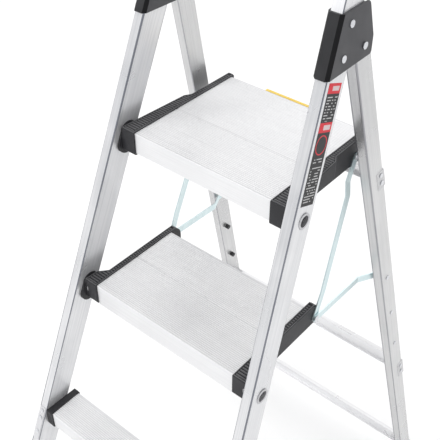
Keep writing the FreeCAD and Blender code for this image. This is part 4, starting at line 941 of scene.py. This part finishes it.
# Pale bars stand in rows, each row broken at uneven places.
rows = number("FRACT", number("MULTIPLY", up, 1 / ROW_PITCH))
row_number = number("FLOOR", number("MULTIPLY", up, 1 / ROW_PITCH))
breaks = nodes.new("ShaderNodeTexWhiteNoise")
breaks.noise_dimensions = "2D"
cell = nodes.new("ShaderNodeCombineXYZ")
bar_number = number("FLOOR", number("MULTIPLY", across, 1 / BAR_PITCH))
links.new(bar_number, cell.inputs["X"])
links.new(row_number, cell.inputs["Y"])
links.new(cell.outputs[0], breaks.inputs["Vector"])
kept_bar = number("GREATER_THAN", breaks.outputs["Value"], BAR_SHARE)
bars = number("MULTIPLY", between(rows, BAR_LOW, BAR_HIGH), kept_bar)
upper_rows = field(
    label_tall - UPPER_ROWS_FROM, label_tall - UPPER_ROWS_TO, MARGIN, label_wide - MARGIN
)
short_rows = field(SHORT_ROWS_FROM, SHORT_ROWS_TO, SHORT_MARGIN, label_wide - SHORT_MARGIN)
lower_rows = field(LOWER_ROWS_FROM, LOWER_ROWS_TO, MARGIN, label_wide - MARGIN)
bars = number("MULTIPLY", bars, either(either(upper_rows, short_rows), lower_rows))
blocks = [
    field(label_tall - start, label_tall - end, BLOCK_LEFT, label_wide - BLOCK_RIGHT)
    for start, end in (
        (HEAD_BLOCK_FROM, HEAD_BLOCK_TO), (LOWER_BLOCK_FROM, LOWER_BLOCK_TO),
    )
]
pale = either(bars, either(*blocks))
wear = nodes.new("ShaderNodeTexNoise")
wear.inputs["Scale"].default_value = 160.0
wear.inputs["Detail"].default_value = 4.0
links.new(place.outputs["Object"], wear.inputs["Vector"])
ground = nodes.new("ShaderNodeMix")
ground.data_type = "RGBA"
ground.inputs["A"].default_value = (0.012, 0.012, 0.013, 1)
ground.inputs["B"].default_value = (0.026, 0.026, 0.028, 1)
links.new(wear.outputs["Fac"], ground.inputs["Factor"])
with_red = nodes.new("ShaderNodeMix")
with_red.data_type = "RGBA"
with_red.inputs["B"].default_value = (0.62, 0.02, 0.035, 1)
links.new(red, with_red.inputs["Factor"])
links.new(ground.outputs["Result"], with_red.inputs["A"])
with_pale = nodes.new("ShaderNodeMix")
with_pale.data_type = "RGBA"
with_pale.inputs["B"].default_value = (0.62, 0.62, 0.62, 1)
links.new(number("MULTIPLY", pale, 0.8), with_pale.inputs["Factor"])
links.new(with_red.outputs["Result"], with_pale.inputs["A"])
links.new(with_pale.outputs["Result"], shader.inputs["Base Color"])
sheen = nodes.new("ShaderNodeMapRange")
sheen.inputs["To Min"].default_value = 0.25
sheen.inputs["To Max"].default_value = 0.42
links.new(wear.outputs["Fac"], sheen.inputs["Value"])
links.new(sheen.outputs["Result"], shader.inputs["Roughness"])
shader.inputs["Specular IOR Level"].default_value = 0.2
dress("rail_label", ink)


# ---- Top tray ---------------------------------------------------------------------------------
# One moulding over the rail tops: a hand slot in front, and a shallow well with ribs across its
# floor for tools.

tray_nylon = moulded(
    "tray_nylon", Base=(0.03, 0.03, 0.033, 1), Worn=(0.05, 0.05, 0.053, 1),
)
softened("top_tray", "front_frame", tray_nylon, 0.0016, 3)
FLOOR_RIB_MARGIN = 0.012
FLOOR_RIB_PITCH = 0.0125
FLOOR_RIB_COUNT = 7
FLOOR_RIB_WIDTH = 0.0022
FLOOR_RIB_HEIGHT = 0.0018
FLOOR_RIB_LIFT = 0.0001
well_low, well_high = frame["record"]["physics"]["openings"][0]["box_m"]
rib_row(
    "top_tray_floor_ribs",
    (0, well_low[1] + FLOOR_RIB_MARGIN, well_low[2] + FLOOR_RIB_LIFT),
    (0, FLOOR_RIB_PITCH, 0), FLOOR_RIB_COUNT,
    (well_high[0] - well_low[0] - FLOOR_RIB_MARGIN, FLOOR_RIB_WIDTH, FLOOR_RIB_HEIGHT),
    (0.995, 0.6, 1.0), tray_nylon, "front_frame",
)


# ---- Feet and bumpers -------------------------------------------------------------------------
# Moulded rubber boots pushed over the ends of the rails and legs. Short rubber bumpers stand on
# the inner faces of the legs.

rubber = moulded(
    "boot_rubber", Base=(0.022, 0.022, 0.024, 1), Worn=(0.04, 0.04, 0.042, 1),
    Grain=1500.0, Depth=0.5,
)
for side in ("left", "right"):
    softened(f"front_foot_{side}", "front_frame", rubber, 0.0012, 3)
    softened(f"rear_foot_{side}", "rear_frame", rubber, 0.0012, 3)
softened("leg_bumpers", "rear_frame", rubber, 0.0008)
